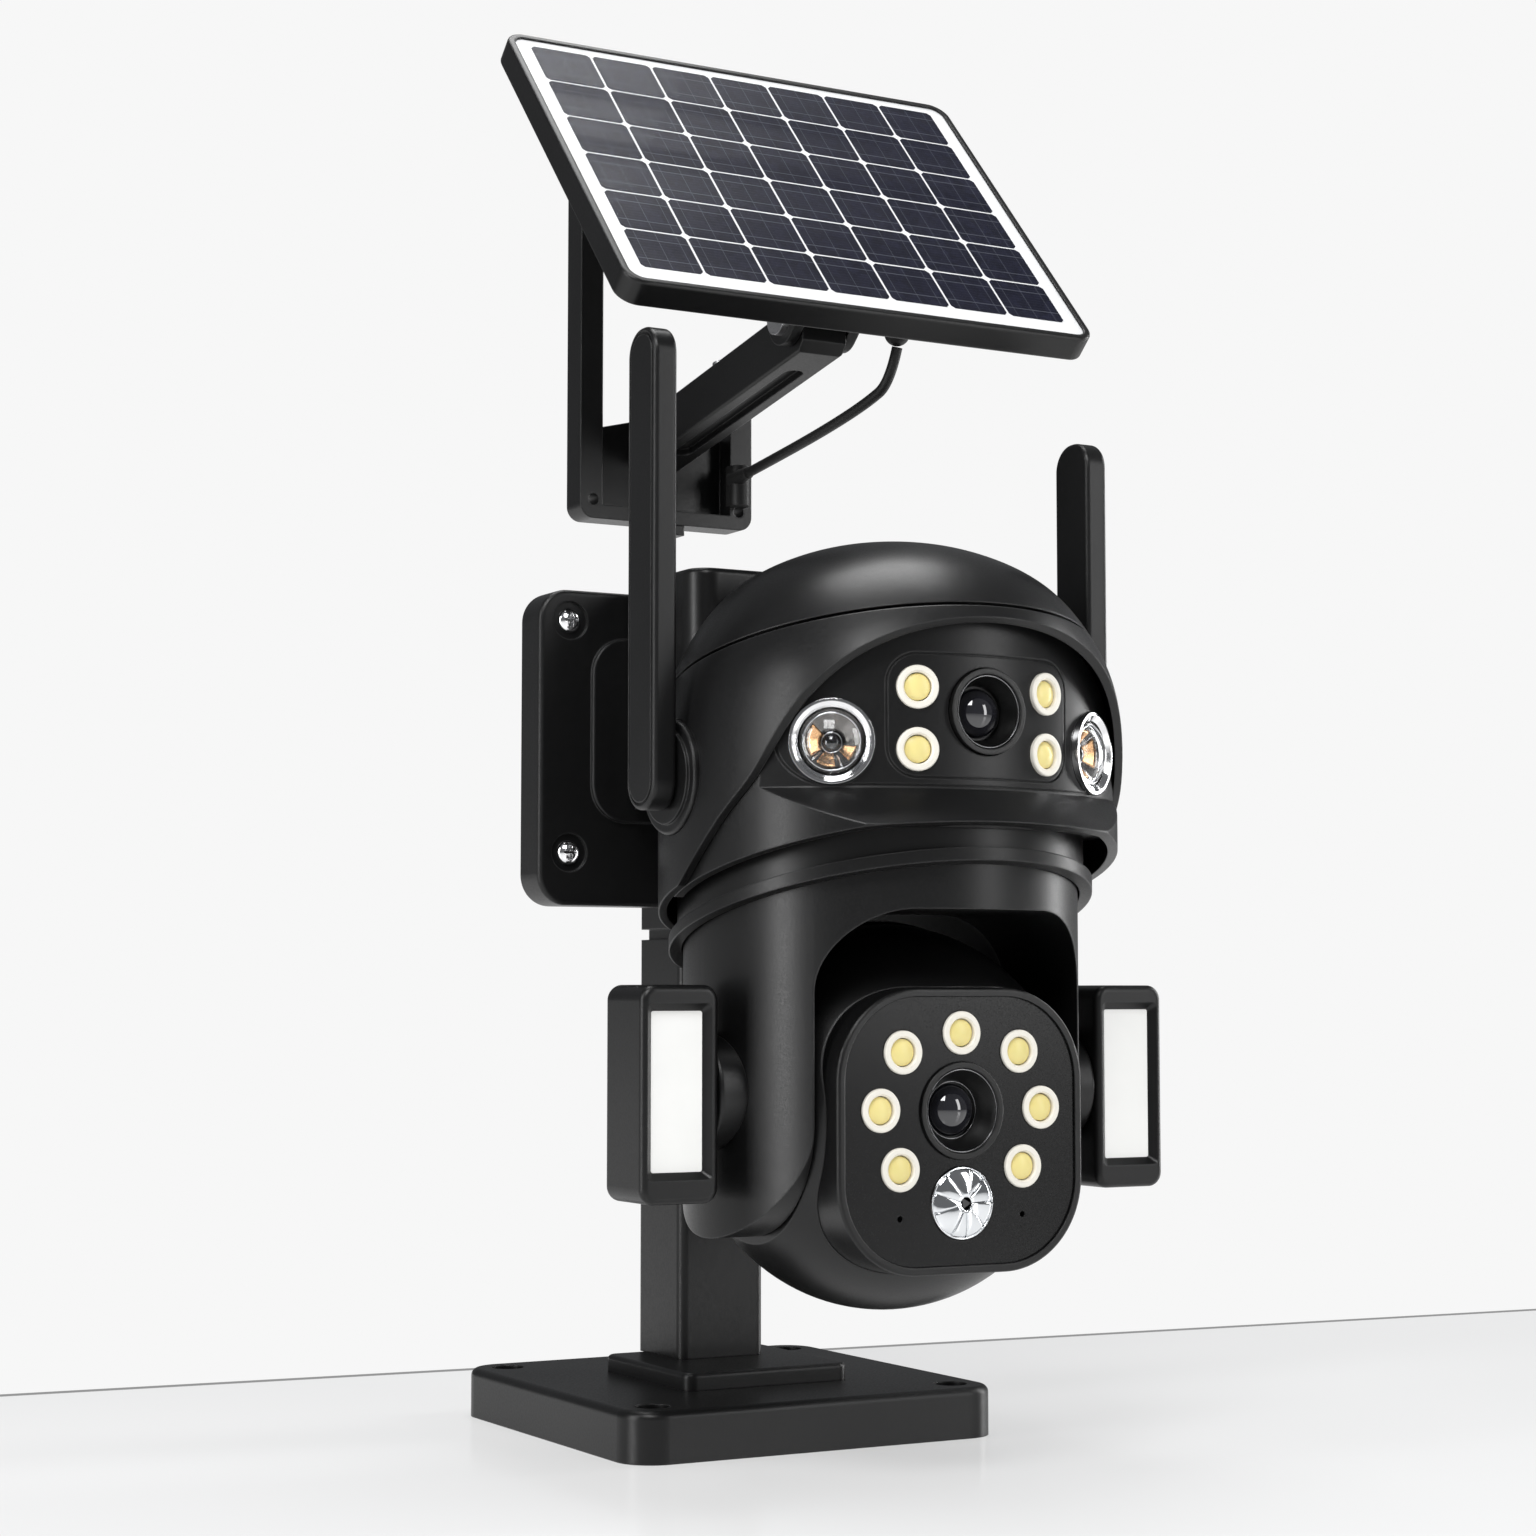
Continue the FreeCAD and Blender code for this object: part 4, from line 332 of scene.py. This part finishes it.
# ------------------------------------------------------------------ solar lead
LEAD_POINTS = [(31.5, -60.0, 352.4), (31.0, -56.0, 341.2), (30.0, -44.0, 337.0), (28.8, -24.0, 332.8),
               (27.4, 4.0, 328.4), (26.0, 31.0, 324.7)]
LEAD_D = 0.0036
curve = bpy.data.curves.new("solar_lead_run", "CURVE")
curve.dimensions = "3D"
curve.resolution_u = 24
spline = curve.splines.new("NURBS")
spline.points.add(len(LEAD_POINTS) - 1)
for point, at in zip(spline.points, LEAD_POINTS):
    point.co = (*(c * MM for c in at), 1)
spline.order_u = 3
spline.use_endpoint_u = True
curve.bevel_depth = LEAD_D / 2
curve.bevel_resolution = 5
curve.use_fill_caps = True
lead = bpy.data.objects.new("solar_lead_run", curve)
bpy.context.scene.collection.objects.link(lead)
curve.materials.append(MATS["rubber"])
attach(lead, "stand")
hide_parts("solar_lead")


# ------------------------------------------------------------------ detail pieces
FULL_TURN = 2 * math.pi
FRONT = Vector((0, -1, 0))


def new_piece(name, bm, mats, body, smooth=True):
    """Turns a bmesh into a piece that rides on a body."""
    bmesh.ops.recalc_face_normals(bm, faces=bm.faces)
    mesh = bpy.data.meshes.new(name)
    bm.to_mesh(mesh)
    bm.free()
    for mat in mats:
        mesh.materials.append(mat)
    for polygon in mesh.polygons:
        polygon.use_smooth = smooth
    obj = bpy.data.objects.new(name, mesh)
    bpy.context.scene.collection.objects.link(obj)
    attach(obj, body)
    return obj


def frame_at(spot, normal):
    """Axes on a round part's face: across, up and outward."""
    up = Vector((0, 0, 1))
    across = up.cross(normal).normalized()
    return Matrix((across, up, normal)).transposed(), spot


def placed(place, u, v, w):
    axes, spot = place
    return spot + axes @ Vector((u, v, w))


def closed_patch(bm, place, front, radii, angles, thick, material=0):
    """A thin curved slab over a span of radii and angles. front(r, a) is its height."""
    layers = []
    for drop in (0.0, thick):
        layers.append([[bm.verts.new(placed(place, r * math.cos(a), r * math.sin(a), front(r, a) - drop))
                        for a in angles] for r in radii])
    top, low = layers
    rows, cols = len(radii), len(angles)

    def quad(*verts):
        face = bm.faces.new(verts)
        face.material_index = material

    for i in range(rows - 1):
        for j in range(cols - 1):
            quad(top[i][j], top[i + 1][j], top[i + 1][j + 1], top[i][j + 1])
            quad(low[i][j], low[i][j + 1], low[i + 1][j + 1], low[i + 1][j])
    for i in range(rows - 1):
        quad(top[i][0], low[i][0], low[i + 1][0], top[i + 1][0])
        quad(top[i][-1], top[i + 1][-1], low[i + 1][-1], low[i][-1])
    for j in range(cols - 1):
        quad(top[0][j], top[0][j + 1], low[0][j + 1], low[0][j])
        quad(top[-1][j], low[-1][j], low[-1][j + 1], top[-1][j + 1])


def steps(start, stop, count):
    return [start + (stop - start) * i / (count - 1) for i in range(count)]


def turned(bm, place, profile, count=48, material=0):
    """A closed (radius, height) loop turned round a part's axis."""
    rings = []
    for i in range(count):
        a = FULL_TURN * i / count
        rings.append([bm.verts.new(placed(place, r * math.cos(a), r * math.sin(a), h)) for r, h in profile])
    for i in range(count):
        here, there = rings[i], rings[(i + 1) % count]
        for j in range(len(profile)):
            k = (j + 1) % len(profile)
            bm.faces.new((here[j], there[j], there[k], here[k])).material_index = material


def bead(middle_r, height, half):
    """A small round section for a turned ring."""
    turns = steps(0, FULL_TURN, 9)[:-1]
    return [(middle_r + half * math.cos(a), height + half * math.sin(a)) for a in turns]


def crown(bm, place, radius, base, height, rings=8, count=32, material=0):
    """A closed dome with a flat back."""
    levels = []
    for i in range(rings):
        lean = math.pi / 2 * i / rings
        r, h = radius * math.cos(lean), base + height * math.sin(lean)
        levels.append([bm.verts.new(placed(place, r * math.cos(a), r * math.sin(a), h))
                       for a in steps(0, FULL_TURN, count + 1)[:-1]])
    tip = bm.verts.new(placed(place, 0, 0, base + height))
    for low, high in zip(levels, levels[1:]):
        for j in range(count):
            k = (j + 1) % count
            bm.faces.new((low[j], low[k], high[k], high[j])).material_index = material
    for j in range(count):
        bm.faces.new((levels[-1][j], levels[-1][(j + 1) % count], tip)).material_index = material
    bm.faces.new(levels[0]).material_index = material


# side sensors: petals, inner ring and pupil inside each bowl
SENSOR_X = 0.045
SENSOR_Z = 0.2135
CUP_R = 0.0084
CUP_EYE_R = 0.0026
CUP_LOW = -0.0052
CUP_RISE = 0.0042
CUP_PROUD = 0.00035
PETALS = {"left": [(2.35, 3.75), (4.05, 4.85), (5.45, 6.10)],
          "right": [(-0.6, 0.75), (1.2, 2.0), (4.2, 5.0)]}


def bowl_height(r, _angle):
    """Just proud of the reflector cup's cone."""
    return CUP_LOW + (r - CUP_EYE_R) / (CUP_R - CUP_EYE_R) * CUP_RISE + CUP_PROUD


for side, sign in (("left", -1), ("right", 1)):
    normal = Vector((sign * SENSOR_X / EYE_R, -math.sqrt(1 - (SENSOR_X / EYE_R) ** 2), 0))
    spot = EYE_CENTRE + normal * EYE_R + Vector((0, 0, SENSOR_Z))
    place = frame_at(spot, normal)
    petals = bmesh.new()
    for low, high in PETALS[side]:
        closed_patch(petals, place, bowl_height, steps(0.0031, 0.0071, 7), steps(low, high, 12), 0.00025)
    new_piece("sensor_petals_" + side, petals, [MATS["copper"]], "stand")
    trim = bmesh.new()
    turned(trim, place, bead(0.0081, -0.0008, 0.00028), 64)
    turned(trim, place, bead(0.0029, -0.0042, 0.00022), 40)
    for low in (PETALS[side][0][1] + 0.1, PETALS[side][1][1] + 0.22):
        closed_patch(trim, place, bowl_height, steps(0.0034, 0.0077, 5), steps(low, low + 0.07, 3), 0.0003)
    new_piece("sensor_trim_" + side, trim, [MATS["chrome"]], "stand")
    pupil = bmesh.new()
    crown(pupil, place, 0.00265, -0.0045, 0.0019)
    new_piece("sensor_pupil_" + side, pupil, [MATS["pupil"]], "stand")

# motion sensor: a wheel of tilted, curved facets round a dark middle
PIR_R = 0.0106
PIR_Z = 0.0814
PLATE_IN = 0.0008        # the face plate lies this far behind the bezel
PIR_PLACE = frame_at(Vector((0, FACE_Y + PLATE_IN, PIR_Z)), FRONT)
PIR_FACETS = 9
PIR_MID_R = 0.0019


def pir_dome(r):
    return 0.0033 * math.sqrt(max(0.0, 1 - (r / PIR_R) ** 2 * 0.94)) - 0.0009


def seam_angle(k):
    """Where facet k starts; the last one ends on the full turn."""
    return FULL_TURN * k / PIR_FACETS + 0.12 * math.sin(2.3 * k) if k < PIR_FACETS else FULL_TURN


pir = bmesh.new()
for k in range(PIR_FACETS):
    start = seam_angle(k)
    stop = seam_angle(k + 1)
    lean = 0.0007 * math.sin(1.7 * k + 0.6)

    def facet(r, a, start=start, stop=stop, lean=lean):
        along = (a - start) / (stop - start) - 0.5
        return pir_dome(r) + (lean * along + 0.0005 * (0.25 - along ** 2)) * min(1.0, r / 0.004)

    closed_patch(pir, PIR_PLACE, facet, steps(PIR_MID_R, PIR_R - 0.0005, 10), steps(start, stop, 9), 0.0008)
turned(pir, PIR_PLACE, bead(PIR_R - 0.0004, 0.0003, 0.0003), 72)
new_piece("pir_facets", pir, [MATS["optic"]], "tilt_ball")
middle = bmesh.new()
closed_patch(middle, PIR_PLACE, lambda r, a: 0.0018, steps(0.00005, PIR_MID_R, 3), steps(0, FULL_TURN, 4),
             0.001)
new_piece("pir_middle", middle, [MATS["pupil"]], "tilt_ball", smooth=False)
backing = bmesh.new()
crown(backing, PIR_PLACE, PIR_R - 0.0002, -0.0030, 0.0026)
pir_back = new_piece("pir_backing", backing, [MATS["bowl"]], "tilt_ball")
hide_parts("pir_lens")

# camera lenses: two thin rings in each mouth, one near the rim and one round the glass
LENSES = [("eye", 0.223, 0.0125, "stand"), ("main", 0.108, 0.0140, "tilt_ball")]
for key, lens_z, outer, body in LENSES:
    rim_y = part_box(key + "_lens_barrel")[0][1]
    place = frame_at(Vector((0, rim_y, lens_z)), FRONT)
    rim = bmesh.new()
    turned(rim, place, bead(outer - 0.0021, -0.0006, 0.00022), 72)
    turned(rim, place, bead(0.0083, -0.0064, 0.0002), 64)
    new_piece(key + "_lens_rings", rim, [MATS["ring_dark"]], body)

# ------------------------------------------------------------------ floor, light
def floor_material():
    """Pale floor. A thin grey line, painted shade of a floor-to-wall corner, marks where it turns into the
    white backdrop.
    """
    t = Tree("studio_floor")
    split = t.add("ShaderNodeSeparateXYZ")
    t.join(t.coords, split.inputs[0])
    past = t.math("SUBTRACT", t.math("MULTIPLY_ADD", split.outputs["X"], 0.078, split.outputs["Y"]), 0.167)
    mottle = t.noise(3, 2, 0.5)
    base = t.ramp(mottle, [(0.3, (0.52, 0.52, 0.52)), (0.7, (0.54, 0.54, 0.54))])
    t.put(Base_Color=base, Roughness=t.span(mottle, 0.11, 0.14, 0.3, 0.7), Specular_IOR_Level=0.5,
          Emission_Color=(1, 1, 1), Emission_Strength=0.42)
    glow = t.add("ShaderNodeEmission")
    # Painted shade: a thin grey band where the shade of a wall corner would fall.
    painted_corner_shade = t.math("LESS_THAN", t.math("ABSOLUTE", t.math("SUBTRACT", past, 0.003)), 0.0035)
    t.join(t.mix(painted_corner_shade, (0.93, 0.93, 0.93), (0.30, 0.30, 0.30)), glow.inputs["Color"])
    blend = t.add("ShaderNodeMixShader")
    t.join(t.span(past, 0.0, 1.0, 0.0, 0.001), blend.inputs[0])
    t.join(t.shader.outputs[0], blend.inputs[1])
    t.join(glow.outputs[0], blend.inputs[2])
    t.join(blend.outputs[0], t.nodes["Material Output"].inputs["Surface"])
    return t.mat


def grid_plane(name, size, cuts):
    bm = bmesh.new()
    bmesh.ops.create_grid(bm, x_segments=cuts, y_segments=cuts, size=size)
    mesh = bpy.data.meshes.new(name)
    bm.to_mesh(mesh)
    bm.free()
    obj = bpy.data.objects.new(name, mesh)
    bpy.context.scene.collection.objects.link(obj)
    return obj


floor = grid_plane("studio_floor", 6.0, 8)
floor.data.materials.append(floor_material())

world = bpy.data.worlds.new("studio")
bpy.context.scene.world = world
world.use_nodes = True
wn = world.node_tree.nodes
wl = world.node_tree.links
background = wn["Background"]
seen = wn.new("ShaderNodeBackground")
seen.inputs["Color"].default_value = (0.93, 0.93, 0.93, 1)
seen.inputs["Strength"].default_value = 1.0
background.inputs["Color"].default_value = (0.9, 0.92, 0.95, 1)
background.inputs["Strength"].default_value = 0.16
path = wn.new("ShaderNodeLightPath")
pick = wn.new("ShaderNodeMixShader")
wl.new(path.outputs["Is Camera Ray"], pick.inputs[0])
wl.new(background.outputs[0], pick.inputs[1])
wl.new(seen.outputs[0], pick.inputs[2])
wl.new(pick.outputs[0], wn["World Output"].inputs["Surface"])


def area(name, place, aim, size, power, size_y=None):
    data = bpy.data.lights.new(name, "AREA")
    data.shape = "RECTANGLE"
    data.size = size
    data.size_y = size_y or size
    data.energy = power
    obj = bpy.data.objects.new(name, data)
    bpy.context.scene.collection.objects.link(obj)
    obj.location = place
    obj.rotation_euler = (Vector(aim) - Vector(place)).to_track_quat("-Z", "Y").to_euler()


area("key", (-0.75, -1.05, 1.45), (0, -0.05, 0.2), 0.7, 20)
area("left_strip", (-1.25, -0.15, 0.40), (0, -0.08, 0.22), 0.22, 9, size_y=1.1)
area("right_strip", (1.20, -0.15, 0.45), (0, -0.08, 0.22), 0.22, 9, size_y=1.1)
area("front_card", (0.75, -1.25, 0.55), (0, -0.05, 0.2), 0.30, 5, size_y=0.9)
area("top", (0.1, 0.25, 1.7), (0, -0.05, 0.2), 0.9, 16)

bpy.context.scene.view_settings.view_transform = "Standard"
